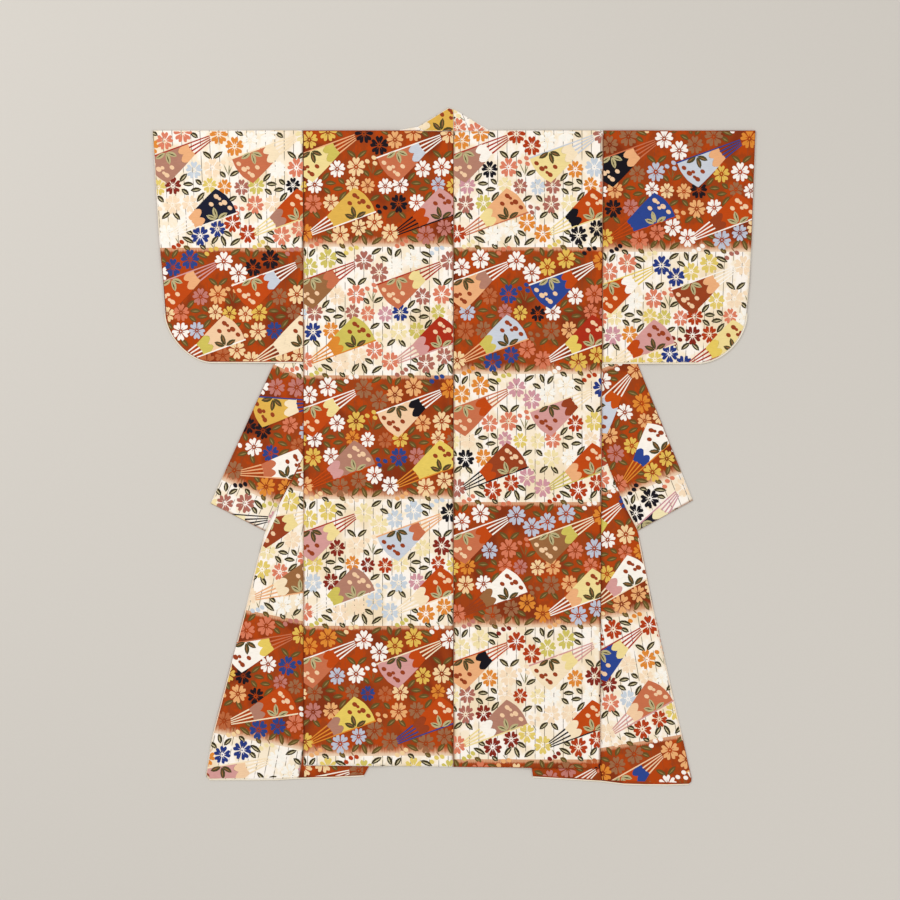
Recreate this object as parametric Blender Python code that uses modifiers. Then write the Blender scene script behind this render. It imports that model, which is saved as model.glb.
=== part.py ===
"""Noh robe of brocaded silk, laid flat with its back up and its collar away from the viewer.

Sizes are in metres, +Z is up, +Y runs from the hem to the collar, and the underside rests on z = 0.
Places on the cloth are given the way a robe maker gives them: reach is the distance out from the
centre back seam, and drop is the distance below the shoulder line.
"""

import math
from dataclasses import dataclass

import bmesh
import bpy

# Cloth
WALL = 0.0016
SEAM_GAP = 0.0003
LAYER = WALL + SEAM_GAP
FOLD_RADIUS = LAYER / 2
FOLD_STEPS = 4
LEVEL_0 = WALL / 2
LEVEL_1 = LEVEL_0 + LAYER
LEVEL_2 = LEVEL_1 + LAYER

# Place of the robe in its frame
CENTRE_SEAM_X = -0.0011
SHOULDER_Y = 0.7346

# Grid of each panel
BODY_ROWS = 24
BODY_WIDTH_CELLS = 3
RETURN_CELLS = 3
SLEEVE_ROWS = 9
CORNER_ROWS = 7
SLEEVE_CELLS = 4
COLLAR_CELLS = 3
OKUMI_CELLS = 4
COLLAR_FIRST_STATION = 15
OKUMI_FIRST_STATION = 5
OKUMI_CORNER_RISES = (0.0115, 0.0045, 0.0)

# Fall of the back from the folded fronts down to the surface, measured in from the fold
FALL_START = 0.006
FALL_END = 0.056
FALL_CELLS = 4

# Neck and shoulder
NECK_REACH = 0.078
FIRST_RETURN_ROW = 1
NECK_RETURN = 0.005
NECK_SEAM_DROP = -0.0004

# Lining that shows as a narrow edge
LINING_EDGE = 0.0025
SLEEVE_LINING_WALL = 0.0030

# Back hem: drop at the centre seam, and how much it grows with each metre to the right
BACK_HEM_DROP = 1.4799
BACK_HEM_SLOPE = 0.0115
FRONT_HEM_SHORTER = 0.0020

# The tip of the okumi, where the collar, the okumi and the front meet
OKUMI_TIP_DROP = 0.281

# Colours of the cloth and of the lining
BROCADE_COLOUR = (0.45, 0.06, 0.014, 1.0)
LINING_COLOUR = (0.86, 0.80, 0.68, 1.0)


@dataclass(frozen=True)
class Side:
    """The measured sizes of one half of the robe."""

    name: str
    sign: int
    side_at_shoulder: float
    side_at_hem: float
    # sleeve edge: drop, reach
    sleeve_edge: tuple
    corner_reach: float
    corner_drop: float
    corner_power: float
    # where the sleeve comes down off the collar: reach of the top and of the foot of the slope
    sleeve_slope: tuple
    fold_at_hem: float
    # collar: drop and reach of its outer edge at the sleeve, and reach gained with each metre of drop
    collar_outer: tuple
    collar_lean: float
    collar_end_outer: tuple
    # collar seam below the straight run: drop, reach
    collar_seam: tuple
    # collar behind the neck: drop and reach of the upper edge, drop and reach of the seam
    collar_neck: tuple
    okumi_seam_at_hem: float
    # okumi edge: drop, reach
    okumi_edge: tuple
    # front hem: reach, drop
    front_hem: tuple


LEFT = Side(
    name="left",
    sign=-1,
    side_at_shoulder=0.3495,
    side_at_hem=0.3495,
    sleeve_edge=((0.0, 0.7005), (0.253, 0.6850), (0.352, 0.6757), (0.424, 0.6703)),
    corner_reach=0.1050,
    corner_drop=0.1126,
    corner_power=1.70,
    sleeve_slope=(0.446, 0.509),
    fold_at_hem=0.195,
    collar_outer=(0.5385, 0.4173),
    collar_lean=0.4527,
    collar_end_outer=(0.8663, 0.5657),
    collar_seam=((0.758, 0.3490), (0.8835, 0.4136), (0.9308, 0.4392)),
    collar_neck=(
        (0.0617, 0.2007, 0.0617, 0.0930),
        (0.018, 0.1600, 0.018, 0.0890),
        (-0.0035, 0.1247, NECK_SEAM_DROP, 0.0740),
        (-0.0105, 0.0827, NECK_SEAM_DROP, 0.0560),
        (-0.0330, 0.0462, NECK_SEAM_DROP, 0.0320),
        (-0.0548, 0.0117, NECK_SEAM_DROP, 0.0085),
        (-0.0515, 0.00015, NECK_SEAM_DROP, 0.00015),
    ),
    okumi_seam_at_hem=0.360,
    okumi_edge=(
        (0.9375, 0.4403),
        (1.002, 0.4578),
        (1.117, 0.4858),
        (1.241, 0.5184),
        (1.406, 0.5618),
        (1.497, 0.5760),
        (1.504, 0.5750),
        (1.5085, 0.5690),
    ),
    front_hem=(
        (0.1950, 1.4780),
        (0.1975, 1.4930),
        (0.2085, 1.4992),
        (0.2300, 1.5015),
        (0.3600, 1.5050),
        (0.3860, 1.5075),
        (0.4280, 1.5085),
        (0.5690, 1.5085),
    ),
)

RIGHT = Side(
    name="right",
    sign=1,
    side_at_shoulder=0.3483,
    side_at_hem=0.3413,
    sleeve_edge=((0.0, 0.7027), (0.253, 0.6939), (0.351, 0.6885), (0.424, 0.6815)),
    corner_reach=0.1145,
    corner_drop=0.1149,
    corner_power=1.87,
    sleeve_slope=(0.456, 0.519),
    fold_at_hem=0.1817,
    collar_outer=(0.5429, 0.4290),
    collar_lean=0.4055,
    collar_end_outer=(0.8593, 0.5573),
    collar_seam=((0.777, 0.3600), (0.8763, 0.3991), (0.9299, 0.4289)),
    collar_neck=(
        (0.0617, 0.2332, 0.0617, 0.0930),
        (0.020, 0.1700, 0.020, 0.0890),
        (0.0030, 0.1200, NECK_SEAM_DROP, 0.0780),
        (-0.0030, 0.0820, NECK_SEAM_DROP, 0.0600),
        (-0.0270, 0.0425, NECK_SEAM_DROP, 0.0340),
        (-0.0468, 0.0100, NECK_SEAM_DROP, 0.0085),
        (-0.0515, 0.00015, NECK_SEAM_DROP, 0.00015),
    ),
    okumi_seam_at_hem=0.345,
    okumi_edge=(
        (0.9370, 0.4303),
        (1.117, 0.4665),
        (1.418, 0.5347),
        (1.508, 0.5545),
        (1.515, 0.5535),
        (1.519, 0.5480),
    ),
    front_hem=(
        (0.1817, 1.4800),
        (0.1850, 1.5020),
        (0.2600, 1.5062),
        (0.3180, 1.5108),
        (0.3483, 1.5120),
        (0.3712, 1.5178),
        (0.4742, 1.5209),
        (0.5480, 1.5190),
    ),
)


def read_table(table, key):
    """The second column of a short table at this value of its first column, on straight runs."""
    for (key_a, value_a), (key_b, value_b) in zip(table, table[1:]):
        if key <= key_b:
            break
    share = (key - key_a) / (key_b - key_a)
    return value_a + (value_b - value_a) * share


def mix(start, end, share):
    """The value this share of the way from start to end."""
    return start + (end - start) * share


def station(row):
    """The drop of a row of the body, at which the collar and the okumi have rows too."""
    return BACK_HEM_DROP * row / BODY_ROWS


def ease(share):
    """A soft step from 0 to 1."""
    share = min(max(share, 0.0), 1.0)
    return share * share * (3 - 2 * share)


def place(side, reach, drop, height):
    """A point of the robe in the frame."""
    return (
        CENTRE_SEAM_X + side.sign * reach,
        SHOULDER_Y - drop,
        height,
    )


def side_reach(side, drop):
    """The side seam."""
    return mix(side.side_at_shoulder, side.side_at_hem, drop / BACK_HEM_DROP)


def fold_reach(side, drop):
    """The slanted line on which the front is folded back outwards."""
    return mix(NECK_REACH, side.fold_at_hem, drop / BACK_HEM_DROP)


def collar_seam_reach(side, drop):
    """The seam between the collar and what it is sewn to, below the neck."""
    first_drop, first_reach = side.collar_seam[0]
    if drop >= first_drop:
        return read_table(side.collar_seam, drop)
    straight = first_reach + side.collar_lean * (drop - first_drop)
    return max(straight, fold_reach(side, drop) + NECK_RETURN)


def okumi_seam_reach(side, drop):
    """The seam between the front and the okumi."""
    hem_drop = read_table(side.front_hem, side.okumi_seam_at_hem)
    tip_reach = collar_seam_reach(side, OKUMI_TIP_DROP)
    share = (drop - OKUMI_TIP_DROP) / (hem_drop - OKUMI_TIP_DROP)
    return mix(tip_reach, side.okumi_seam_at_hem, share)


def front_edge_reach(side, drop):
    """The edge of the folded front: the collar seam down to the tip, and then the okumi seam."""
    if drop < OKUMI_TIP_DROP:
        return collar_seam_reach(side, drop)
    return okumi_seam_reach(side, drop)


def okumi_edge_reach(side, drop):
    """The outer edge of the okumi: the collar seam, and then its own edge."""
    top_drop = side.okumi_edge[0][0]
    if drop < top_drop:
        return min(collar_seam_reach(side, drop), side.okumi_edge[0][1])
    return read_table(side.okumi_edge, drop)


def back_hem_drop(side, reach):
    """The hem of the back."""
    return BACK_HEM_DROP + BACK_HEM_SLOPE * side.sign * reach


def sleeve_lift(side, reach):
    """How far the sleeve is lifted by the collar beneath it, near the armhole."""
    top, foot = side.sleeve_slope
    return LAYER * (1 - ease((reach - top) / (foot - top)))


def corner_edge(side, share):
    """The rounded lower corner of the sleeve, from its outer edge to its bottom: drop, reach."""
    start_drop, start_reach = side.sleeve_edge[-1]
    angle = share * math.pi / 2
    along = math.cos(angle) ** (2 / side.corner_power)
    down = math.sin(angle) ** (2 / side.corner_power)
    return (
        start_drop + side.corner_drop * down,
        start_reach - side.corner_reach * (1 - along),
    )


def sleeve_rows(side):
    """The rows of a sleeve from its bottom to the shoulder: drop, reach of the outer edge."""
    rows = [
        corner_edge(side, 1 - step / CORNER_ROWS) for step in range(CORNER_ROWS)
    ]
    start_drop = side.sleeve_edge[-1][0]
    for step in range(SLEEVE_ROWS + 1):
        drop = start_drop * (1 - step / SLEEVE_ROWS)
        rows.append((drop, read_table(side.sleeve_edge, drop)))
    return rows


def sleeve_bottom(side):
    """The drop of the bottom of the sleeve."""
    return side.sleeve_edge[-1][0] + side.corner_drop


def add_grid(bm, columns, rows, point):
    """Adds a grid of cells and sets each of its points with point(column, row)."""
    made = bmesh.ops.create_grid(bm, x_segments=columns, y_segments=rows, size=0.5)
    for vert in made["verts"]:
        column = round((vert.co.x + 0.5) * columns)
        row = round((vert.co.y + 0.5) * rows)
        vert.co = point(column, row)


def material(name, colour, roughness):
    """A cloth material."""
    made = bpy.data.materials.get(name) or bpy.data.materials.new(name)
    made.use_nodes = True
    shader = made.node_tree.nodes["Principled BSDF"]
    shader.inputs["Base Color"].default_value = colour
    shader.inputs["Roughness"].default_value = roughness
    shader.inputs["Metallic"].default_value = 0.0
    return made


def finish_sheet(name, bm, collection, colour=BROCADE_COLOUR, wall=WALL):
    """Turns the open surface into a cloth of even thickness, half of it on each side."""
    bmesh.ops.remove_doubles(bm, verts=bm.verts, dist=0.00001)
    bmesh.ops.recalc_face_normals(bm, faces=bm.faces)
    mesh = bpy.data.meshes.new(name)
    bm.to_mesh(mesh)
    bm.free()
    obj = bpy.data.objects.new(name, mesh)
    collection.objects.link(obj)
    mesh.materials.append(material(name, colour, 0.8))
    solid = obj.modifiers.new("Thickness", "SOLIDIFY")
    solid.thickness = wall
    solid.offset = 0.0
    solid.use_even_offset = True
    return obj


def body_columns(side, drop):
    """The columns of the back from the side seam to the centre seam: reach, height."""
    outer = side_reach(side, drop)
    fold = fold_reach(side, drop)
    columns = [
        (mix(outer, fold, step / BODY_WIDTH_CELLS), LEVEL_2)
        for step in range(BODY_WIDTH_CELLS + 1)
    ]
    for step in range(FALL_CELLS + 1):
        share = step / FALL_CELLS
        reach = fold - mix(FALL_START, FALL_END, share)
        columns.append((reach, mix(LEVEL_2, LEVEL_0, ease(share))))
    foot = columns[-1][0]
    columns.append(((foot + SEAM_GAP / 2) / 2, LEVEL_0))
    columns.append((SEAM_GAP / 2, LEVEL_0))
    return columns


def return_hem_reach(side, step):
    """The reach at the hem of a column of the folded front, counted out from the fold."""
    first = side.front_hem[2][0] if side.sign < 0 else side.front_hem[1][0]
    return mix(first, side.okumi_seam_at_hem, (step - 1) / (RETURN_CELLS - 1))


def return_hem_drop(side, step):
    """The drop at the hem of a column of the folded front."""
    return read_table(side.front_hem, return_hem_reach(side, step))


def return_reach(side, step, drop):
    """The reach of a column of the folded front at this drop."""
    fold = fold_reach(side, min(drop, BACK_HEM_DROP))
    edge = front_edge_reach(side, drop) - SEAM_GAP / 2
    width = side.okumi_seam_at_hem - side.fold_at_hem
    return mix(fold, edge, (return_hem_reach(side, step) - side.fold_at_hem) / width)


def make_body(side, collection):
    """One length of cloth: the back, over the shoulder, and the front folded back outwards."""
    bm = bmesh.new()
    back_cells = len(body_columns(side, 0.0)) - 1

    def back_point(column, row):
        share = row / BODY_ROWS
        reach, height = body_columns(side, share * BACK_HEM_DROP)[column]
        return place(side, reach, share * back_hem_drop(side, reach), height)

    def shoulder_point(column, row):
        angle = math.pi * row / FOLD_STEPS
        reach, _ = body_columns(side, 0.0)[column]
        middle = (LEVEL_1 + LEVEL_2) / 2
        return place(
            side,
            reach,
            -FOLD_RADIUS * math.sin(angle),
            middle + FOLD_RADIUS * math.cos(angle),
        )

    def front_point(column, row):
        share = row / BODY_ROWS
        reach, _ = body_columns(side, share * BACK_HEM_DROP)[column]
        hem = back_hem_drop(side, reach) - FRONT_HEM_SHORTER
        return place(side, reach, share * hem, LEVEL_1)

    def return_point(column, row):
        share = (row + FIRST_RETURN_ROW) / BODY_ROWS
        straight = share * BACK_HEM_DROP
        fold = fold_reach(side, straight)
        short_hem = back_hem_drop(side, fold) - FRONT_HEM_SHORTER
        if column <= FOLD_STEPS:
            angle = math.pi * column / FOLD_STEPS
            middle = (LEVEL_0 + LEVEL_1) / 2
            reach = fold - FOLD_RADIUS * math.sin(angle)
            height = middle + FOLD_RADIUS * math.cos(angle)
            return place(side, reach, share * short_hem, height)
        step = column - FOLD_STEPS
        longer = return_hem_drop(side, step) - BACK_HEM_DROP
        drop = straight + longer * ease((share - 0.68) / 0.32)
        return place(side, return_reach(side, step, drop), drop, LEVEL_0)

    add_grid(bm, back_cells, BODY_ROWS, back_point)
    add_grid(bm, BODY_WIDTH_CELLS, FOLD_STEPS, shoulder_point)
    add_grid(bm, BODY_WIDTH_CELLS, BODY_ROWS, front_point)
    add_grid(
        bm,
        FOLD_STEPS + RETURN_CELLS,
        BODY_ROWS - FIRST_RETURN_ROW,
        return_point,
    )
    return finish_sheet("body_" + side.name, bm, collection)


def make_sleeve(side, collection):
    """One length of cloth folded over the shoulder, with its lower outer corner rounded."""
    bm = bmesh.new()
    rows = sleeve_rows(side)
    count = len(rows) - 1
    top, foot = side.sleeve_slope

    def sleeve_point(column, row):
        if row <= count:
            drop, edge = rows[row]
            level = LEVEL_0
        elif row < count + FOLD_STEPS:
            angle = math.pi * (row - count) / FOLD_STEPS
            drop = -FOLD_RADIUS * math.sin(angle)
            edge = rows[-1][1]
            level = LEVEL_0 + FOLD_RADIUS * (1 - math.cos(angle))
        else:
            drop, edge = rows[2 * count + FOLD_STEPS - row]
            level = LEVEL_1
        inner = side_reach(side, max(drop, 0.0)) + SEAM_GAP
        fixed = (inner, (inner + top) / 2, top, mix(top, foot, 0.5), foot)
        if column < len(fixed):
            reach = fixed[column]
        else:
            reach = mix(foot, edge, (column - len(fixed) + 1) / SLEEVE_CELLS)
        return place(side, reach, drop, level + sleeve_lift(side, reach))

    add_grid(bm, 4 + SLEEVE_CELLS, 2 * count + FOLD_STEPS, sleeve_point)
    return finish_sheet("sleeve_" + side.name, bm, collection)


def collar_rows(side):
    """The rows of the collar from its end to the centre back: drop, reach outside; drop, reach inside."""
    end_drop, end_reach = side.collar_end_outer
    seam_drop, _ = side.collar_seam[-1]
    neck_drop, neck_reach, neck_seam_drop, _ = side.collar_neck[0]
    rows = []
    inner_drops = [seam_drop]
    inner_drops.extend(station(row) for row in range(COLLAR_FIRST_STATION, 1, -1))
    # the sewn edge runs further down at the end, and the rows turn level towards the neck
    for inner_drop in inner_drops:
        share = (seam_drop - inner_drop) / (seam_drop - neck_seam_drop)
        drop = mix(end_drop, neck_drop, share)
        reach = mix(end_reach, neck_reach, share)
        inner = collar_seam_reach(side, inner_drop) + SEAM_GAP / 2
        rows.append((drop, reach, inner_drop, inner))
    rows.extend(side.collar_neck)
    return rows


def make_collar(side, collection):
    """Half of the collar: a doubled strip from the centre back to its square end on the okumi."""
    bm = bmesh.new()
    rows = collar_rows(side)

    def collar_point(column, row):
        drop, reach, inner_drop, inner_reach = rows[row]
        share = column / COLLAR_CELLS
        return place(
            side,
            mix(inner_reach, reach, share),
            mix(inner_drop, drop, share),
            LEVEL_0,
        )

    add_grid(bm, COLLAR_CELLS, len(rows) - 1, collar_point)
    return finish_sheet("collar_" + side.name, bm, collection)


def okumi_drops(side, hem):
    """The rows of the okumi down to this hem."""
    drops = [station(row) for row in range(OKUMI_FIRST_STATION, COLLAR_FIRST_STATION + 1)]
    drops.append(side.okumi_edge[0][0])
    drops.extend(station(row) for row in range(COLLAR_FIRST_STATION + 1, BODY_ROWS))
    drops.extend(hem - rise for rise in OKUMI_CORNER_RISES)
    return drops


def okumi_place(side, column, row):
    """The drop and reach of a point of the okumi's grid."""
    share = column / OKUMI_CELLS
    corner_drop, corner_reach = side.okumi_edge[-1]
    hem = read_table(side.front_hem, mix(side.okumi_seam_at_hem, corner_reach, share))
    drop = okumi_drops(side, hem)[row]
    edge_drop = okumi_drops(side, corner_drop)[row]
    inner = okumi_seam_reach(side, drop) + SEAM_GAP / 2
    outer = okumi_edge_reach(side, edge_drop) - SEAM_GAP / 2
    return drop, mix(inner, outer, share)


def make_okumi(side, collection):
    """The overlap panel, which tapers to the tip at the collar."""
    bm = bmesh.new()
    rows = len(okumi_drops(side, 0.0)) - 1

    def okumi_point(column, row):
        drop, reach = okumi_place(side, column, row)
        return place(side, reach, drop, LEVEL_0)

    add_grid(bm, OKUMI_CELLS, rows, okumi_point)
    return finish_sheet("okumi_" + side.name, bm, collection)


def offset_edge(points):
    """The points moved out by the seam gap and by the gap and the lining edge: pairs of drop, reach."""
    pairs = []
    last = len(points) - 1
    for index, (drop, reach) in enumerate(points):
        before = points[max(index - 1, 0)]
        after = points[min(index + 1, last)]
        run_drop = after[0] - before[0]
        run_reach = after[1] - before[1]
        length = math.hypot(run_drop, run_reach)
        out_drop = -run_reach / length
        out_reach = run_drop / length
        near = SEAM_GAP
        far = SEAM_GAP + LINING_EDGE
        pairs.append(
            (
                (drop + out_drop * near, reach + out_reach * near),
                (drop + out_drop * far, reach + out_reach * far),
            )
        )
    return pairs


def make_sleeve_lining(side, collection):
    """The edge of the lining, which shows below the sleeve and round its corner."""
    bm = bmesh.new()
    bottom = sleeve_bottom(side)
    inner = side_reach(side, bottom) + SEAM_GAP
    corner_start = corner_edge(side, 1.0)[1]
    _, foot = side.sleeve_slope
    top, _ = side.sleeve_slope
    edge = [corner_edge(side, step / CORNER_ROWS) for step in range(CORNER_ROWS + 1)]
    for reach in (foot, mix(top, foot, 0.5), top, inner):
        if reach < corner_start - 0.001:
            edge.append((bottom, reach))
    pairs = offset_edge(edge)

    def lining_point(column, row):
        drop, reach = pairs[row][column]
        height = LEVEL_0 + FOLD_RADIUS + sleeve_lift(side, reach)
        return place(side, reach, drop, height)

    add_grid(bm, 1, len(pairs) - 1, lining_point)
    return finish_sheet(
        "sleeve_lining_" + side.name,
        bm,
        collection,
        colour=LINING_COLOUR,
        wall=SLEEVE_LINING_WALL,
    )


def make_hem_lining(side, collection):
    """The edge of the lining, which shows below the hem of the front and of the okumi."""
    bm = bmesh.new()
    last_row = len(okumi_drops(side, 0.0)) - 1
    edge = [
        okumi_place(side, column, last_row) for column in range(OKUMI_CELLS, -1, -1)
    ]
    for step in range(RETURN_CELLS, 0, -1):
        drop = return_hem_drop(side, step)
        edge.append((drop, return_reach(side, step, drop)))
    pairs = offset_edge(edge)

    def lining_point(column, row):
        drop, reach = pairs[row][column]
        return place(side, reach, drop, LEVEL_0)

    add_grid(bm, 1, len(pairs) - 1, lining_point)
    return finish_sheet(
        "hem_lining_" + side.name, bm, collection, colour=LINING_COLOUR
    )


def main():
    """Builds the robe."""
    for obj in list(bpy.data.objects):
        bpy.data.objects.remove(obj, do_unlink=True)
    collection = bpy.data.collections.new("noh_robe")
    bpy.context.scene.collection.children.link(collection)
    for side in (LEFT, RIGHT):
        make_body(side, collection)
        make_sleeve(side, collection)
        make_collar(side, collection)
        make_okumi(side, collection)
        make_sleeve_lining(side, collection)
        make_hem_lining(side, collection)


main()
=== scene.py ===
"""Looks of the noh robe: brocaded silk in red and white blocks with fans and blossoms, its back up.

Sizes are in metres, +Z is up and +Y runs from the hem to the collar. Places on the cloth are given the
way a robe maker gives them: reach is the distance out from the centre back seam, and drop is the
distance below the shoulder line. The woven repeat is charted in chart units of CHART_UNIT, across to
the right and down, from the rivet of the upper fan.
"""

from __future__ import annotations

import logging
import math
import random
from collections.abc import Callable, Sequence
from dataclasses import dataclass
from enum import Enum
from functools import partial
from typing import NamedTuple

import bmesh
import bpy
from bmesh.types import BMesh, BMLayerItem, BMVert
from bpy.types import Material, Mesh, Node, NodeSocket, NodeTree, Object
from mathutils import Matrix, Vector
from mathutils.bvhtree import BVHTree

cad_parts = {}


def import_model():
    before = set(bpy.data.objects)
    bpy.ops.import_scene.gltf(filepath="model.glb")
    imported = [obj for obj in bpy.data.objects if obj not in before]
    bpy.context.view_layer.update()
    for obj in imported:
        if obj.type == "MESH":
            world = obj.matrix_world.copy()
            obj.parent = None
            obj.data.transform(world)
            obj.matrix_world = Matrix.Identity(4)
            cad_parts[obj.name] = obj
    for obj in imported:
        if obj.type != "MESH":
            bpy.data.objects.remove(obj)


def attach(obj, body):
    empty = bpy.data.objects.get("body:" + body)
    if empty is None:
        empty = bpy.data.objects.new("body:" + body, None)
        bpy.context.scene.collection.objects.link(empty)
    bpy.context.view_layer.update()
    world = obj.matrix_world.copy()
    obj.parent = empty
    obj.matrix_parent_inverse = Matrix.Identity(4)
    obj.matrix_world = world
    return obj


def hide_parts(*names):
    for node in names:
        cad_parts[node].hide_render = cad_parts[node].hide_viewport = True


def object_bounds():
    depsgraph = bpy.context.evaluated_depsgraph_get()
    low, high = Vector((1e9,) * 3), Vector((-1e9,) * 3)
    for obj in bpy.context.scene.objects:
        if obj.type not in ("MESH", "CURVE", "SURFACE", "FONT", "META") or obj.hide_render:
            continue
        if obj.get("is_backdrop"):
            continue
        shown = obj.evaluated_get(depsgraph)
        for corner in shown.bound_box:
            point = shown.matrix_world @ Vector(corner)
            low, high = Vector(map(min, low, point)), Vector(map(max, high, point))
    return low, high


log = logging.getLogger("noh_robe")

# Cloth
WALL = 0.0016
SEAM_GAP = 0.0003
LAYER = WALL + SEAM_GAP
FOLD_RADIUS = LAYER / 2
FOLD_STEPS = 4
LEVEL_0 = WALL / 2
LEVEL_1 = LEVEL_0 + LAYER
LEVEL_2 = LEVEL_1 + LAYER

# Place of the robe in its frame
CENTRE_SEAM_X = -0.0011
SHOULDER_Y = 0.7346
# The same place in the photo, in pixels
PHOTO_SEAM = (453.5, 131.5)

# Grid of each panel
BODY_ROWS = 24
BODY_WIDTH_CELLS = 3
RETURN_CELLS = 3
FIRST_RETURN_ROW = 1
SLEEVE_ROWS = 53
CORNER_ROWS = 21
SLEEVE_CELLS = 4
COLLAR_CELLS = 3
OKUMI_CELLS = 4
COLLAR_FIRST_STATION = 15
OKUMI_FIRST_STATION = 5
OKUMI_CORNER_RISES = (0.0115, 0.0045, 0.0)

# Fall of the back from the folded fronts down to the surface, measured in from the fold
FALL_START = 0.006
FALL_END = 0.056
FALL_CELLS = 4

# Neck, hems and the tip where the collar, the okumi and the front meet
NECK_REACH = 0.078
NECK_RETURN = 0.005
NECK_SEAM_DROP = -0.0004
BACK_HEM_DROP = 1.4799
BACK_HEM_SLOPE = 0.0115
FRONT_HEM_SHORTER = 0.0020
OKUMI_TIP_DROP = 0.281
LINING_EDGE = 0.0025
SLEEVE_LINING_WALL = 0.0030

# Points of two grids that lie closer than this are one point
MERGE_GAP = 0.00002

# How far the floats stay clear of a cut edge, and of the fold over the shoulder
EDGE_CLEAR = 0.0012
FOLD_CLEAR = 0.0006

# How the cloth swells away from a seam
PUFF = 0.0007
PUFF_RUN = 0.007
PUFF_RISE = 0.012

# The woven repeat
CHART_UNIT = 0.00233
REPEAT_ACROSS = 85.5
REPEAT_DOWN = 126.6
RIVET_BELOW_BLOCK = 15.8
BLOCK_LENGTH = REPEAT_DOWN * CHART_UNIT
WARP_LINE_SPACING = 0.0218

# Heights of the silk floats above the ground cloth
LEAF_LIFT = 0.00030
VEIN_RISE = 0.00012
BLOSSOM_LIFT = 0.00038
PAPER_LIFT = 0.00048
RIB_LIFT = 0.00056
SPRAY_LIFT = 0.00066
TRIM_LIFT = 0.00045
TRIM_INSETS = (0.0028, 0.0008)
FLOAT_ROOT = 0.00025
FLOAT_CLEARANCE = 0.00018
FLOAT_SLOPE = 0.00020

Colour = tuple[float, float, float, float]
Place = tuple[float, float]
ClothPlace = tuple[float, float, float]

# Settings that many nodes share
SOFT = {"interpolation_type": "SMOOTHSTEP"}
RGBA = {"data_type": "RGBA"}


class Spot(NamedTuple):
    """A point of a panel before it is placed in the frame."""

    reach: float
    drop: float
    height: float


class Faces(Enum):
    """Which way a layer of floats looks."""

    UP = 1
    DOWN = -1


class Ground(Enum):
    """The colour of the block that a motif is woven on."""

    RED = "red"
    WHITE = "white"


def linear(code: str) -> Colour:
    """The linear colour of an sRGB hex code.

    Args:
        code: Six hex digits after a hash sign.

    Returns:
        Red, green, blue and an alpha of 1.
    """
    parts = [int(code[place : place + 2], 16) / 255 for place in (1, 3, 5)]
    red, green, blue = (
        part / 12.92 if part <= 0.04045 else ((part + 0.055) / 1.055) ** 2.4 for part in parts
    )
    return (red, green, blue, 1.0)


def brightness(colour: Colour) -> float:
    """How light a linear colour looks, from 0 to 1."""
    return (0.21 * colour[0] + 0.72 * colour[1] + 0.07 * colour[2]) ** 0.45


def mix(start: float, end: float, share: float) -> float:
    """The value this share of the way from start to end."""
    return start + (end - start) * share


def ease(share: float) -> float:
    """A soft step from 0 to 1."""
    share = min(max(share, 0.0), 1.0)
    return share * share * (3 - 2 * share)


def read_table(table: Sequence[Place], key: float) -> float:
    """Reads a short table on straight runs.

    Args:
        table: Pairs of key and value, in order of the key.
        key: Where to read it.

    Returns:
        The value there, carried on straight beyond the ends.
    """
    key_a, value_a = table[0]
    key_b, value_b = table[1]
    for (key_a, value_a), (key_b, value_b) in zip(table, table[1:]):
        if key <= key_b:
            break
    return mix(value_a, value_b, (key - key_a) / (key_b - key_a))


def stops(counts: Sequence[int]) -> list[float]:
    """Cuts the coarse cells of a grid into finer ones.

    Args:
        counts: How many fine cells each coarse cell gets.

    Returns:
        The places of the grid lines, where 1 is the width of a coarse cell.
    """
    lines = [0.0]
    for cell, count in enumerate(counts):
        lines.extend(cell + (step + 1) / count for step in range(count))
    return lines


def new_object(name: str, bm: BMesh, *finishes: Material) -> Object:
    """Makes an object of a form that is done.

    Args:
        name: Name of the object.
        bm: The form, which is freed.
        finishes: Its materials.

    Returns:
        The object, in the scene.
    """
    mesh = bpy.data.meshes.new(name)
    bm.to_mesh(mesh)
    bm.free()
    for finish in finishes:
        mesh.materials.append(finish)
    made = bpy.data.objects.new(name, mesh)
    bpy.context.scene.collection.objects.link(made)
    return made


def settle(piece: Object, solid: str = "") -> Object:
    """Lets a piece ride with the robe, and stand for a solid where it has one."""
    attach(piece, "root")
    if solid:
        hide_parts(solid)
    log.info("%s: %d faces", piece.name, len(piece.data.polygons))
    return piece


# Finishes


def feed(tree: NodeTree, node: Node, inputs: dict[str | int, object]) -> None:
    """Gives each input of a node its value, or links the socket that feeds it."""
    for name, value in inputs.items():
        if isinstance(value, NodeSocket):
            tree.links.new(value, node.inputs[name])
        else:
            node.inputs[name].default_value = value


def add_node(
    tree: NodeTree,
    kind: str,
    inputs: dict[str | int, object] | None = None,
    output: str | int = 0,
    **settings: object,
) -> NodeSocket:
    """Adds a node with its settings and links.

    Args:
        tree: The node tree of the material.
        kind: The node's type without the prefix ShaderNode.
        inputs: For each input a value, or the socket that feeds it.
        output: Which output is wanted.
        settings: Properties of the node.

    Returns:
        That output of the new node.
    """
    node = tree.nodes.new("ShaderNode" + kind)
    for name, value in settings.items():
        setattr(node, name, value)
    feed(tree, node, inputs or {})
    return node.outputs[output]


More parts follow.
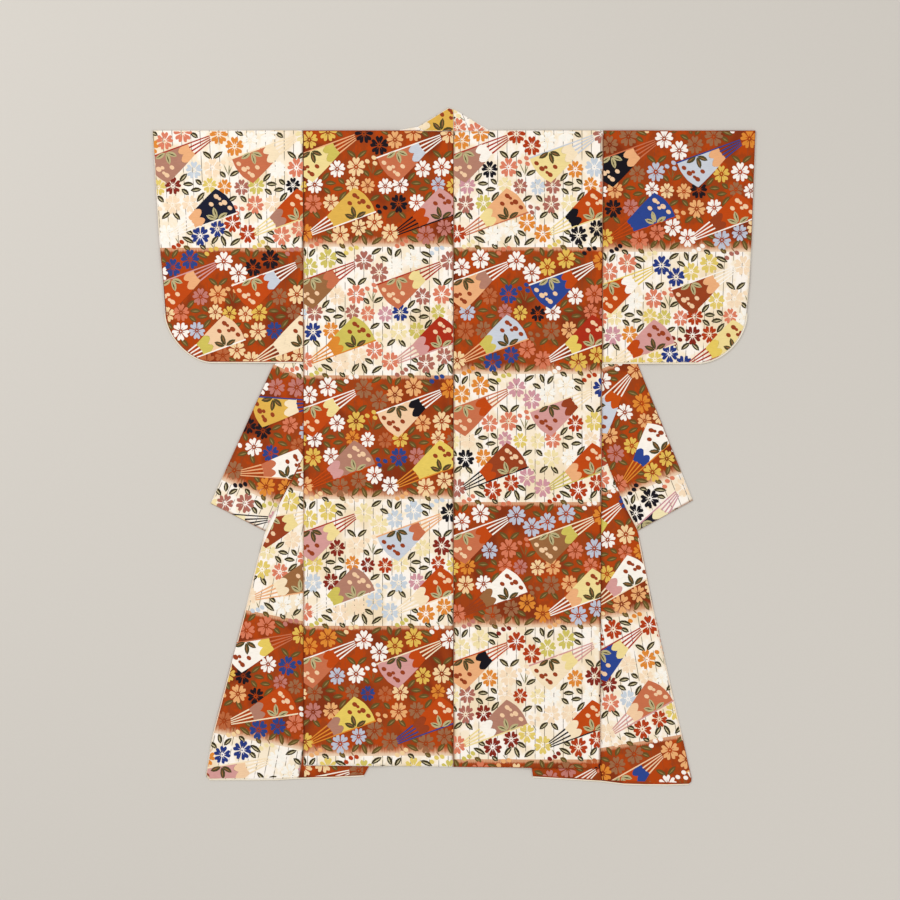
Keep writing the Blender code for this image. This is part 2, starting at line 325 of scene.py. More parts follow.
@dataclass(frozen=True)
class Finish:
    """What every finish has: the name of its material, its gloss and the depth of its relief."""

    name: str = ""
    roughness: float = 0.5
    specular: float = 0.5
    sheen: float = 0.0
    sheen_roughness: float = 0.5
    bump: float = 0.0
    depth: float = 0.0003

    def pattern(self, tree: NodeTree) -> tuple[object, object, object]:
        """The colour of the surface, how light it is there, and its height if it has relief."""
        raise NotImplementedError

    @staticmethod
    def speckles(
        tree: NodeTree, place: object, *grains: tuple[float, float, float, float]
    ) -> list[NodeSocket]:
        """Makes grains that vary over a place.

        Args:
            tree: The node tree of the material.
            place: The socket of a place in metres.
            grains: Cells to a metre along each axis, and how much finer grain each holds.

        Returns:
            The noises, in the same order.
        """
        noises = []
        for *scale, detail in grains:
            moved = add_node(tree, "VectorMath", {0: place, 1: scale}, operation="MULTIPLY")
            inputs = {"Vector": moved, "Scale": 1.0, "Detail": detail, "Roughness": 0.6}
            noises.append(add_node(tree, "TexNoise", inputs, noise_dimensions="3D"))
        return noises

    @staticmethod
    def turned(
        tree: NodeTree, pattern: object, start: float, end: float, first: object, second: object
    ) -> NodeSocket:
        """The first colour, turned softly into the second as the pattern goes from start to end."""
        share = add_node(tree, "MapRange", {0: pattern, 1: start, 2: end}, **SOFT)
        return add_node(tree, "Mix", {0: share, 6: first, 7: second}, 2, **RGBA)

    def make(self) -> Material:
        """Builds the material.

        Returns:
            The material, shaded and raised by its own pattern.
        """
        made = bpy.data.materials.new(self.name)
        made.use_nodes = True
        tree = made.node_tree
        colour, shade, height = self.pattern(tree)
        grey = add_node(tree, "CombineColor", dict.fromkeys(range(3), shade))
        shaded = {0: 1.0, 6: colour, 7: grey}
        inputs = {
            "Base Color": add_node(tree, "Mix", shaded, 2, blend_type="MULTIPLY", **RGBA),
            "Roughness": self.roughness,
            "Specular IOR Level": self.specular,
            "Sheen Weight": self.sheen,
            "Sheen Roughness": self.sheen_roughness,
        }
        if height is not None:
            raised = {"Strength": self.bump, "Distance": self.depth, "Height": height}
            inputs["Normal"] = add_node(tree, "Bump", raised)
        feed(tree, tree.nodes["Principled BSDF"], inputs)
        return made


@dataclass(frozen=True)
class BrocadeGround(Finish):
    """The ground of the robe: twill-woven silk, its warp dyed in red and white blocks before weaving.

    It has a soft, low gloss with fine weft grain. The eye sees its blocks end in a ragged, paler
    fringe where the dye crept along the warp, and thin dark warp lines.
    """

    name: str = "BrocadeGround_woven_silk"
    roughness: float = 0.66
    specular: float = 0.05
    sheen: float = 0.02
    sheen_roughness: float = 0.45
    bump: float = 0.35
    red: str = "#9E4115"
    bright_red: str = "#B4440D"
    deep_red: str = "#843313"
    cream: str = "#FAEBD2"
    pale: str = "#FFF8F0"
    warm: str = "#F4E0C0"
    bleed: str = "#B8693C"
    pale_bleed: str = "#EBBF9A"
    line: str = "#54483A"
    # painted seam shade: the colour that the ground is multiplied toward beside each seam
    seam: str = "#A06C46"
    thread: float = 0.0016

    def pattern(self, tree: NodeTree) -> tuple[object, object, object]:
        """Blocks, fringes, warp lines and painted shade along the seams, over a weft grain."""
        add = partial(add_node, tree)
        cloth = add("Attribute", None, "Vector", attribute_name="cloth")
        across, _, block = add("SeparateXYZ", {0: cloth}).node.outputs
        phase = add("Math", {0: block, 1: 2.0}, operation="FLOORED_MODULO")
        in_red = add("Math", {0: phase, 1: 1.0}, operation="LESS_THAN")
        upper = add("Math", {0: phase, 1: BLOCK_LENGTH}, operation="MULTIPLY")
        lower = add("Math", {0: upper, 1: -1.0, 2: BLOCK_LENGTH}, operation="MULTIPLY_ADD")

        # dye bleeds along single warp threads, so the fringe is made of narrow upright streaks
        streak, broad = self.speckles(tree, cloth, (420.0, 30.0, 0.0, 2.0), (70.0, 12.0, 0.0, 2.0))
        ragged = add("Math", {0: streak, 1: broad}, operation="MULTIPLY")
        from_upper = add("Math", {0: streak, 1: -0.010, 2: upper}, operation="MULTIPLY_ADD")
        from_lower = add("Math", {0: ragged, 1: -0.050, 2: lower}, operation="MULTIPLY_ADD")
        top = add("MapRange", {0: from_upper, 1: -0.001, 2: 0.006}, **SOFT)
        foot = add("MapRange", {0: from_lower, 1: -0.006, 2: 0.012}, **SOFT)
        dyed = add("Math", {0: top, 1: foot}, operation="MULTIPLY")

        patches, clouds = self.speckles(tree, cloth, (26.0, 20.0, 0.0, 3.0), (9.0, 7.0, 0.0, 2.0))
        red = self.turned(tree, patches, 0.46, 0.58, linear(self.red), linear(self.bright_red))
        red = self.turned(tree, clouds, 0.50, 0.62, red, linear(self.deep_red))
        white = self.turned(tree, patches, 0.42, 0.56, linear(self.cream), linear(self.pale))
        white = self.turned(tree, clouds, 0.52, 0.64, white, linear(self.warm))
        bleed = add("Mix", {0: streak, 6: linear(self.bleed), 7: linear(self.pale_bleed)}, 2, **RGBA)
        washed = add("MapRange", {0: lower, 1: 0.001, 2: 0.012, 3: 0.6, 4: 0.0}, **SOFT)
        bleed = add("Mix", {0: washed, 6: bleed, 7: linear(self.cream)}, 2, **RGBA)

        # a dark warp line every 21.8 mm, worn away in places
        turn = add("Math", {0: across, 1: WARP_LINE_SPACING}, operation="DIVIDE")
        off_line = add("Math", {0: turn, 1: 0.5}, operation="PINGPONG")
        near = add("MapRange", {0: off_line, 1: 0.020, 2: 0.052, 3: 1.0, 4: 0.0}, **SOFT)
        wear, grain = self.speckles(tree, cloth, (46.0, 34.0, 0.0, 2.0), (160.0, 900.0, 0.0, 2.0))
        worn = add("MapRange", {0: wear, 1: 0.40, 2: 0.52}, **SOFT)
        inked = []
        for ground, strength in ((white, 0.85), (red, 0.25)):
            share = add("Math", {0: near, 1: strength}, operation="MULTIPLY")
            share = add("Math", {0: share, 1: worn}, operation="MULTIPLY")
            inked.append(add("Mix", {0: share, 6: ground, 7: linear(self.line)}, 2, **RGBA))
        in_block = add("Mix", {0: dyed, 6: bleed, 7: inked[1]}, 2, **RGBA)
        colour = add("Mix", {0: in_red, 6: inked[0], 7: in_block}, 2, **RGBA)

        # painted shade: the ground is darkened toward each seam, where the cloth dips into it
        from_seam = add("Attribute", None, "Fac", attribute_name="seam")
        seam_shade_share = add("MapRange", {0: from_seam, 1: 0.0004, 2: 0.0062, 3: 0.8, 4: 0.0}, **SOFT)
        seam_shade_inputs = {0: seam_shade_share, 6: colour, 7: linear(self.seam)}
        colour = add("Mix", seam_shade_inputs, 2, blend_type="MULTIPLY", **RGBA)

        # the weft is 0.4 mm apart; it is drawn four times as coarse, so that it shows
        drawn = math.tau / (20.0 * self.thread)
        waves = {"Vector": cloth, "Scale": drawn, "Distortion": 0.6, "Detail": 1.0}
        weft = add("TexWave", waves, "Fac", wave_type="BANDS", bands_direction="Y")
        shade = add("Math", {0: grain, 1: 0.16, 2: 0.92}, operation="MULTIPLY_ADD")
        return colour, shade, add("Math", {0: weft, 1: 0.5, 2: grain}, operation="MULTIPLY_ADD")


@dataclass(frozen=True)
class SilkFloats(Finish):
    """The pattern wefts: glossed, untwisted silk that floats over the ground.

    It has the colour of each motif and is a little shinier than the ground. The eye sees the floats
    lie side by side as fine level ribs.
    """

    name: str = "SilkFloats_glossed_silk"
    roughness: float = 0.50
    specular: float = 0.07
    sheen: float = 0.02
    sheen_roughness: float = 0.40
    bump: float = 0.4
    thread: float = 0.0014

    def pattern(self, tree: NodeTree) -> tuple[object, object, object]:
        """The dye of each motif, with strands across it and faint clouds."""
        dye = add_node(tree, "Attribute", None, "Color", attribute_name="dye")
        place = add_node(tree, "TexCoord", None, "Object")
        grains = ((90.0, 1.0 / self.thread, 40.0, 2.0), (60.0, 60.0, 60.0, 2.0))
        strands, clouds = self.speckles(tree, place, *grains)
        ribbed = add_node(tree, "Math", {0: strands, 1: 0.30, 2: 0.78}, operation="MULTIPLY_ADD")
        shade = add_node(tree, "Math", {0: clouds, 1: 0.12, 2: ribbed}, operation="MULTIPLY_ADD")
        return dye, shade, strands


@dataclass(frozen=True)
class LiningSilk(Finish):
    """The lining: plain-woven silk, undyed and a little yellowed.

    It is smooth and matt, with faint warp and weft threads and soft yellowed clouds.
    """

    name: str = "LiningSilk_plain_weave"
    roughness: float = 0.60
    specular: float = 0.20
    sheen: float = 0.05
    sheen_roughness: float = 0.40
    bump: float = 0.3
    depth: float = 0.0002
    pale: str = "#F7EEDC"
    warm: str = "#EFE2C8"
    thread: float = 0.0015

    def pattern(self, tree: NodeTree) -> tuple[object, object, object]:
        """Yellowed clouds under a plain weave."""
        place = add_node(tree, "TexCoord", None, "Object")
        per_metre = 1.0 / self.thread
        grains = ((7.0, 5.0, 7.0, 3.0), (per_metre, 60.0, 60.0, 1.0), (60.0, per_metre, 60.0, 1.0))
        clouds, warp, weft = self.speckles(tree, place, *grains)
        both = add_node(tree, "Math", {0: warp, 1: weft}, operation="ADD")
        weave = add_node(tree, "Math", {0: both, 1: 0.5}, operation="MULTIPLY")
        shade = add_node(tree, "Math", {0: weave, 1: 0.14, 2: 0.93}, operation="MULTIPLY_ADD")
        colour = self.turned(tree, clouds, 0.42, 0.66, linear(self.pale), linear(self.warm))
        return colour, shade, weave


@dataclass(frozen=True)
class StudioPaper(Finish):
    """The backdrop: pale seamless paper, flat and matt, with a barely visible grain."""

    name: str = "StudioPaper"
    roughness: float = 0.9
    colour: str = "#D2CEC8"

    def pattern(self, tree: NodeTree) -> tuple[object, object, object]:
        """One colour with a fine grain and no relief."""
        place = add_node(tree, "TexCoord", None, "Object")
        (grain,) = self.speckles(tree, place, (300.0, 300.0, 300.0, 2.0))
        shade = add_node(tree, "Math", {0: grain, 1: 0.04, 2: 0.98}, operation="MULTIPLY_ADD")
        return linear(self.colour), shade, None


# Cut of the robe


@dataclass(frozen=True)
class RobeHalf:
    """The measured sizes of one half of the robe, as its source has them."""

    name: str
    sign: int
    side_at_shoulder: float
    side_at_hem: float
    # sleeve edge: drop, reach
    sleeve_edge: tuple[Place, ...]
    corner_reach: float
    corner_drop: float
    corner_power: float
    sleeve_slope: Place
    fold_at_hem: float
    collar_lean: float
    # end of the collar: drop, reach
    collar_end_outer: Place
    # collar seam below the straight run: drop, reach
    collar_seam: tuple[Place, ...]
    # collar behind the neck: drop and reach of the upper edge, drop and reach of the seam
    collar_neck: tuple[tuple[float, float, float, float], ...]
    okumi_seam_at_hem: float
    # okumi edge: drop, reach
    okumi_edge: tuple[Place, ...]
    # front hem: reach, drop
    front_hem: tuple[Place, ...]

    def place(self, spot: Spot) -> Vector:
        """The spot in the frame."""
        return Vector((CENTRE_SEAM_X + self.sign * spot.reach, SHOULDER_Y - spot.drop, spot.height))

    def side_reach(self, drop: float) -> float:
        """The side seam."""
        return mix(self.side_at_shoulder, self.side_at_hem, drop / BACK_HEM_DROP)

    def fold_reach(self, drop: float) -> float:
        """The slanted line on which the front is folded back outwards."""
        return mix(NECK_REACH, self.fold_at_hem, drop / BACK_HEM_DROP)

    def collar_seam_reach(self, drop: float) -> float:
        """The seam between the collar and what it is sewn to, below the neck."""
        first_drop, first_reach = self.collar_seam[0]
        if drop >= first_drop:
            return read_table(self.collar_seam, drop)
        straight = first_reach + self.collar_lean * (drop - first_drop)
        return max(straight, self.fold_reach(drop) + NECK_RETURN)

    def okumi_seam_reach(self, drop: float) -> float:
        """The seam between the front and the okumi."""
        hem_drop = read_table(self.front_hem, self.okumi_seam_at_hem)
        tip_reach = self.collar_seam_reach(OKUMI_TIP_DROP)
        share = (drop - OKUMI_TIP_DROP) / (hem_drop - OKUMI_TIP_DROP)
        return mix(tip_reach, self.okumi_seam_at_hem, share)

    def front_edge_reach(self, drop: float) -> float:
        """The edge of the folded front: the collar seam down to the tip, and then the okumi seam."""
        if drop < OKUMI_TIP_DROP:
            return self.collar_seam_reach(drop)
        return self.okumi_seam_reach(drop)

    def okumi_edge_reach(self, drop: float) -> float:
        """The outer edge of the okumi: the collar seam, and then its own edge."""
        top_drop, top_reach = self.okumi_edge[0]
        if drop < top_drop:
            return min(self.collar_seam_reach(drop), top_reach)
        return read_table(self.okumi_edge, drop)

    def back_hem_drop(self, reach: float) -> float:
        """The hem of the back."""
        return BACK_HEM_DROP + BACK_HEM_SLOPE * self.sign * reach

    def sleeve_lift(self, reach: float) -> float:
        """How far the sleeve is lifted by the collar beneath it, near the armhole."""
        top, foot = self.sleeve_slope
        return LAYER * (1 - ease((reach - top) / (foot - top)))

    def sleeve_bottom(self) -> float:
        """The drop of the bottom of the sleeve."""
        return self.sleeve_edge[-1][0] + self.corner_drop

    def corner_edge(self, share: float) -> Place:
        """The rounded lower corner of the sleeve.

        Args:
            share: 0 at its start on the outer edge, 1 at its end on the bottom.

        Returns:
            Drop and reach.
        """
        start_drop, start_reach = self.sleeve_edge[-1]
        angle = share * math.pi / 2
        along = max(math.cos(angle), 0.0) ** (2 / self.corner_power)
        down = math.sin(angle) ** (2 / self.corner_power)
        return (start_drop + self.corner_drop * down, start_reach - self.corner_reach * (1 - along))

    def back_height(self, reach: float, drop: float) -> float:
        """The middle of the back cloth, which falls from the folded fronts to the surface."""
        share = drop / self.back_hem_drop(reach)
        inward = self.fold_reach(share * BACK_HEM_DROP) - reach
        fallen = ease((inward - FALL_START) / (FALL_END - FALL_START))
        return mix(LEVEL_2, LEVEL_0, fallen)


LEFT = RobeHalf(
    name="left",
    sign=-1,
    side_at_shoulder=0.3495,
    side_at_hem=0.3495,
    sleeve_edge=((0.0, 0.7005), (0.253, 0.6850), (0.352, 0.6757), (0.424, 0.6703)),
    corner_reach=0.1050,
    corner_drop=0.1126,
    corner_power=1.70,
    sleeve_slope=(0.446, 0.509),
    fold_at_hem=0.195,
    collar_lean=0.4527,
    collar_end_outer=(0.8663, 0.5657),
    collar_seam=((0.758, 0.3490), (0.8835, 0.4136), (0.9308, 0.4392)),
    collar_neck=(
        (0.0617, 0.2007, 0.0617, 0.0930), (0.018, 0.1600, 0.018, 0.0890),
        (-0.0035, 0.1247, NECK_SEAM_DROP, 0.0740), (-0.0105, 0.0827, NECK_SEAM_DROP, 0.0560),
        (-0.0330, 0.0462, NECK_SEAM_DROP, 0.0320), (-0.0548, 0.0117, NECK_SEAM_DROP, 0.0085),
        (-0.0515, 0.00015, NECK_SEAM_DROP, 0.00015),
    ),
    okumi_seam_at_hem=0.360,
    okumi_edge=(
        (0.9375, 0.4403), (1.002, 0.4578), (1.117, 0.4858), (1.241, 0.5184), (1.406, 0.5618),
        (1.497, 0.5760), (1.504, 0.5750), (1.5085, 0.5690),
    ),
    front_hem=(
        (0.1950, 1.4780), (0.1975, 1.4930), (0.2085, 1.4992), (0.2300, 1.5015), (0.3600, 1.5050),
        (0.3860, 1.5075), (0.4280, 1.5085), (0.5690, 1.5085),
    ),
)

RIGHT = RobeHalf(
    name="right",
    sign=1,
    side_at_shoulder=0.3483,
    side_at_hem=0.3413,
    sleeve_edge=((0.0, 0.7027), (0.253, 0.6939), (0.351, 0.6885), (0.424, 0.6815)),
    corner_reach=0.1145,
    corner_drop=0.1149,
    corner_power=1.87,
    sleeve_slope=(0.456, 0.519),
    fold_at_hem=0.1817,
    collar_lean=0.4055,
    collar_end_outer=(0.8593, 0.5573),
    collar_seam=((0.777, 0.3600), (0.8763, 0.3991), (0.9299, 0.4289)),
    collar_neck=(
        (0.0617, 0.2332, 0.0617, 0.0930), (0.020, 0.1700, 0.020, 0.0890),
        (0.0030, 0.1200, NECK_SEAM_DROP, 0.0780), (-0.0030, 0.0820, NECK_SEAM_DROP, 0.0600),
        (-0.0270, 0.0425, NECK_SEAM_DROP, 0.0340), (-0.0468, 0.0100, NECK_SEAM_DROP, 0.0085),
        (-0.0515, 0.00015, NECK_SEAM_DROP, 0.00015),
    ),
    okumi_seam_at_hem=0.345,
    okumi_edge=(
        (0.9370, 0.4303), (1.117, 0.4665), (1.418, 0.5347), (1.508, 0.5545), (1.515, 0.5535),
        (1.519, 0.5480),
    ),
    front_hem=(
        (0.1817, 1.4800), (0.1850, 1.5020), (0.2600, 1.5062), (0.3180, 1.5108), (0.3483, 1.5120),
        (0.3712, 1.5178), (0.4742, 1.5209), (0.5480, 1.5190),
    ),
)


@dataclass(frozen=True)
class Loom:
    """How the woven repeat lies on a panel, from a corner or a rivet of it."""

    x: float
    y: float
    # degrees that the warp is turned clockwise, seen from above
    turn: float
    # distance across from the start to the first column of rivets
    rivet: float
    # distances down at which the blocks meet
    edges: tuple[float, ...]
    red_first: bool
    # the side on which the cloth lies straight, and the width that it loses with each metre down
    straight_side: float = 0.0
    narrowing: float = 0.0

    def marks(self) -> list[Place]:
        """Distance down and block wherever blocks meet, with one block more at each end."""
        downs = (self.edges[0] - BLOCK_LENGTH, *self.edges, self.edges[-1] + BLOCK_LENGTH)
        first = 0.0 if self.red_first else 1.0
        return [(down, first + index) for index, down in enumerate(downs)]

    def block(self, down: float) -> float:
        """The block at this distance down: a whole number where blocks meet, and even over red ones."""
        return read_table(self.marks(), down)

    def down_at(self, block: float) -> float:
        """The distance down to this block, which is the reverse of block()."""
        return read_table([(mark, down) for down, mark in self.marks()], block)

    def cloth_at(self, place: Vector) -> ClothPlace:
        """What the cloth's attribute holds at a place in the frame.

        Args:
            place: The point; its height doesn't count.

        Returns:
            Distance across, distance down and block.
        """
        angle = math.radians(self.turn)
        right, below = place.x - self.x, self.y - place.y
        across = right * math.cos(angle) + below * math.sin(angle)
        down = below * math.cos(angle) - right * math.sin(angle)
        width = 1.0 - self.narrowing * down
        across = self.straight_side - (self.straight_side - across) / width
        return across - self.rivet, down, self.block(down)

    def place_at(self, across: float, down: float) -> Vector:
        """The place in the frame of a point of the cloth, which is the reverse of cloth_at()."""
        width = 1.0 - self.narrowing * down
        across = self.straight_side - (self.straight_side - across - self.rivet) * width
        angle = math.radians(self.turn)
        right = across * math.cos(angle) - down * math.sin(angle)
        below = across * math.sin(angle) + down * math.cos(angle)
        return Vector((self.x + right, self.y - below, 0.0))

    def ground(self, block: float) -> Ground:
        """The ground colour of a block."""
        return Ground.RED if math.floor(block) % 2 == 0 else Ground.WHITE


@dataclass(frozen=True)
class Crease:
    """A soft ridge: where its middle lies, how it turns from straight down, and its size."""

    reach: float
    drop: float
    turn: float
    length: float
    width: float
    height: float

    def rise(self, reach: float, drop: float) -> float:
        """How far it lifts the cloth at a spot."""
        angle = math.radians(self.turn)
        out, down = reach - self.reach, drop - self.drop
        along = (down * math.cos(angle) + out * math.sin(angle)) / (self.length / 2)
        if abs(along) >= 1.0:
            return 0.0
        across = (out * math.cos(angle) - down * math.sin(angle)) / (self.width / 2)
        return self.height * (1 - along * along) ** 2 * math.exp(-across * across)


@dataclass(frozen=True)
class Relief:
    """The creases of one panel and its swelling away from seams."""

    creases: tuple[Crease, ...]
    run: float

    def rise(self, reach: float, drop: float, from_seam: float, from_edge: float) -> float:
        """How far the cloth stands above its flat lie.

        Args:
            reach: Where.
            drop: Where.
            from_seam: Distance to the nearest seam.
            from_edge: Distance to the nearest place where the cloth has to lie flat.

        Returns:
            The rise in metres, never below 0.
        """
        swell = PUFF * (1 - math.exp(-max(from_seam, 0.0) / PUFF_RUN))
        swell *= ease(from_edge / PUFF_RISE)
        ridges = sum(crease.rise(reach, drop) for crease in self.creases)
        return swell + ridges * ease(min(from_edge, from_seam) / self.run)


# Cloth shells


def keep(spot: Spot) -> Spot:
    """Leaves a spot where it is."""
    return spot


class Shell:
    """An open sheet that gets its points, its cloth attribute and then its thickness."""

    def __init__(self, half: RobeHalf) -> None:
        """Starts an empty sheet for this half of the robe."""
        self.half = half
        self.bm = bmesh.new()
        self.cloth = self.bm.verts.layers.float_vector.new("cloth")
        # distance to the nearest seam, from which the ground finish paints its seam shade
        self.seam = self.bm.verts.layers.float.new("seam")

    def add_grid(
        self,
        columns: Sequence[float],
        rows: Sequence[float],
        point: Callable[[int, int], Spot],
        finish: Callable[[Spot], Spot],
        weave: Callable[[Spot], ClothPlace],
        from_seam: Callable[[Spot], float] = lambda spot: 1.0,
    ) -> None:
        """Adds a grid whose lines run straight between the coarse points.

        Args:
            columns: Grid lines across, from stops().
            rows: Grid lines along, from stops().
            point: The coarse point at a whole column and row.
            finish: Moves a spot to its last height.
            weave: The cloth attribute at a spot.
            from_seam: The distance of a spot from the nearest seam that shows.
        """
        made = bmesh.ops.create_grid(
            self.bm, x_segments=len(columns) - 1, y_segments=len(rows) - 1, size=0.5
        )
        known: dict[tuple[int, int], Spot] = {}

        def coarse(column: int, row: int) -> Spot:
            """A coarse point, worked out once."""
            if (column, row) not in known:
                known[column, row] = point(column, row)
            return known[column, row]

        for vert in made["verts"]:
            column = columns[round((vert.co.x + 0.5) * (len(columns) - 1))]
            row = rows[round((vert.co.y + 0.5) * (len(rows) - 1))]
            left = min(int(column), int(columns[-1]) - 1)
            low = min(int(row), int(rows[-1]) - 1)
            share, climb = column - left, row - low
            corners = (
                (coarse(left, low), (1 - share) * (1 - climb)),
                (coarse(left + 1, low), share * (1 - climb)),
                (coarse(left, low + 1), (1 - share) * climb),
                (coarse(left + 1, low + 1), share * climb),
            )
            spot = Spot(*(sum(c[axis] * w for c, w in corners) for axis in range(3)))
            vert[self.cloth] = weave(spot)
            vert[self.seam] = from_seam(spot)
            vert.co = self.half.place(finish(spot))

    def close(self, upper: Callable[[Vector], bool]) -> BVHTree:
        """Merges the grids, turns the right side of the cloth out and keeps the form.

        Args:
            upper: Tells whether the right side faces up at the middle of a face.

        Returns:
            The middle surface, to lay floats on.
        """
        bmesh.ops.remove_doubles(self.bm, verts=self.bm.verts, dist=MERGE_GAP)
        bmesh.ops.recalc_face_normals(self.bm, faces=self.bm.faces)
        wrong = 0.0
        for face in self.bm.faces:
            rising = face.normal.z if upper(face.calc_center_median()) else -face.normal.z
            wrong -= rising * face.calc_area()
        if wrong > 0:
            bmesh.ops.reverse_faces(self.bm, faces=self.bm.faces)
        return BVHTree.FromBMesh(self.bm)

    def finish(self, name: str, outside: Material, inside: Material, wall: float = WALL) -> Object:
        """Makes the object and gives it its thickness, half of it on each side.

        Args:
            name: Name of the piece.
            outside: Finish of the right side.
            inside: Finish of the other side and of the cut edges.
            wall: Thickness of the cloth.

        Returns:
            The finished object.
        """
        for face in self.bm.faces:
            face.smooth = True
        obj = new_object(name, self.bm, outside, inside)
        solid = obj.modifiers.new("Thickness", "SOLIDIFY")
        solid.thickness = wall
        solid.offset = 0.0
        solid.material_offset = 1
        solid.material_offset_rim = 0
        return obj


# Charted motifs


class Charted(NamedTuple):
    """A blossom of the chart: its colour group, its middle and its radius."""

    group: str
    across: float
    down: float
    radius: float


class ChartedLeaf(NamedTuple):
    """A leaf of the chart: its middle, its slope upwards in degrees and its length."""

    across: float
    down: float
    slope: float
    length: float


class ChartedBud(NamedTuple):
    """A bud of the chart: the colour group it follows and its middle."""

    group: str
    across: float
    down: float


BLOSSOMS = tuple(
    Charted(*row)
    for row in (
        ("beside_rivet", 9.4, -2.1, 8.9), ("beside_rivet", 24.8, 9.7, 8.9),
        ("above_fan", 40.4, 4.1, 8.2), ("above_fan", 59.0, -4.1, 9.0), ("by_buds", 1.6, 31.1, 8.9),
        ("left_of_middle", -17.3, 33.2, 7.9), ("far_left", -39.7, 49.0, 8.0),
        ("middle", -2.0, 48.5, 7.0), ("right_of_middle", 13.3, 50.0, 7.0), ("right", 30.7, 50.5, 7.3),
        ("low_left", -41.3, 67.8, 8.5), ("low_middle", -23.4, 66.8, 7.9),
        ("under_fan", -14.2, 99.0, 8.9), ("under_fan", 4.1, 91.8, 7.7),
        ("beside_low_rivet", 20.0, 86.2, 8.4), ("beside_low_rivet", 35.8, 96.9, 8.5),
    )
)

LEAVES = tuple(
    ChartedLeaf(*row)
    for row in (
        (22.0, -11.2, 32, 11.5), (29.7, -3.6, -29, 9.4), (34.8, -11.2, -68, 9.4),
        (43.4, -9.7, 55, 10.0), (-29.0, -15.3, -32, 7.8), (-13.7, -8.2, -24, 12.3),
        (-15.2, -1.5, -33, 8.5), (-3.0, 18.4, -39, 11.3), (7.7, 18.4, 39, 11.3), (11.8, 37.7, -45, 8.0),
        (24.0, 36.7, 29, 10.5), (-28.5, 40.8, 49, 10.8), (-23.9, 47.4, 0, 10.2),
        (-13.2, 45.4, -40, 8.0), (-27.5, 55.1, -38, 9.0), (-16.3, 53.1, 6, 10.3),
        (-11.7, 60.2, 52, 11.6), (20.5, 62.2, 31, 10.8), (32.2, 62.2, -45, 8.7), (36.8, 78.6, 39, 10.5),
        (47.5, 79.1, -45, 10.1), (-25.4, 95.9, -27, 8.0), (-27.5, 103.1, -28, 13.0),
        (1.1, 103.1, 51, 10.5), (9.8, 104.1, -67, 11.6), (14.3, 96.9, -30, 10.0),
        (22.5, 105.1, 35, 12.5), (-12.2, 110.2, -36, 7.0),
    )
)

STALKS = tuple(
    ChartedLeaf(*row)
    for row in (
        (15.2, 32.6, -66, 12.0), (18.6, 31.0, 84, 14.0), (19.4, 34.0, 70, 10.0),
        (-39.0, 103.6, -58, 6.0), (-2.2, 108.8, -50, 6.0), (27.0, 79.6, -58, 9.0),
    )
)

BUDS = tuple(
    ChartedBud(*row)
    for row in (
        ("by_buds", 12.8, 25.5), ("by_buds", 19.4, 21.9), ("by_buds", 20.5, 27.5),
        ("next_low_left", 23.5, 70.4), ("next_low_left", 30.7, 71.9), ("next_low_left", 25.0, 76.0),
        ("falling", -42.8, 110.2), ("falling", -37.7, 108.2), ("falling", -34.1, 105.1),
        ("falling_too", -8.2, 116.9), ("falling_too", -3.6, 112.8), ("falling_too", 2.0, 111.8),
    )
)


# The spray on a fan's paper, in chart units from its rivet: the foot of its leaves, the slope and length
# of each leaf, and the place and size of each bud
SPRAY_FOOT = (-43.5, -16.4)
SPRAY_LEAVES = ((-146.0, 11.2), (-72.0, 12.0), (-20.0, 11.0))
SPRAY_BUDS = (
    (-56.0, -28.0, 4.8), (-50.6, -33.4, 5.6), (-46.8, -32.0, 3.8), (-42.4, -39.4, 5.2),
    (-45.4, -37.2, 3.6), (-37.4, -31.6, 4.8),
)
# A paper that looks lighter than this gets a dark spray
LIGHT_PAPER = 0.62


class Dye(Enum):
    """The dyed silks of the fans and their sprays."""

    WHITE = "#FDF7EE"
    CREAM = "#F8E4C2"
    STRAW = "#F1DC98"
    YELLOW = "#E8CC62"
    LIME = "#CFC05C"
    GOLD = "#E0B250"
    APRICOT = "#EDB07E"
    PEACH = "#F3CDA6"
    ORANGE = "#DE8A30"
    VERMILION = "#C0480E"
    RED = "#AC2E16"
    CLAY = "#C8704C"
    BRICK = "#98401E"
    BROWN = "#99683F"
    MAUVE = "#B27F6C"
    PINK = "#D59C98"
    MIST = "#CBD1DC"
    BLUE = "#2C4590"
    NAVY = "#1A1C30"
    BLACK = "#15121A"
    OLIVE = "#4E4626"
    SAGE = "#BDB183"

    @property
    def colour(self) -> Colour:
        """The linear colour."""
        return linear(self.value)


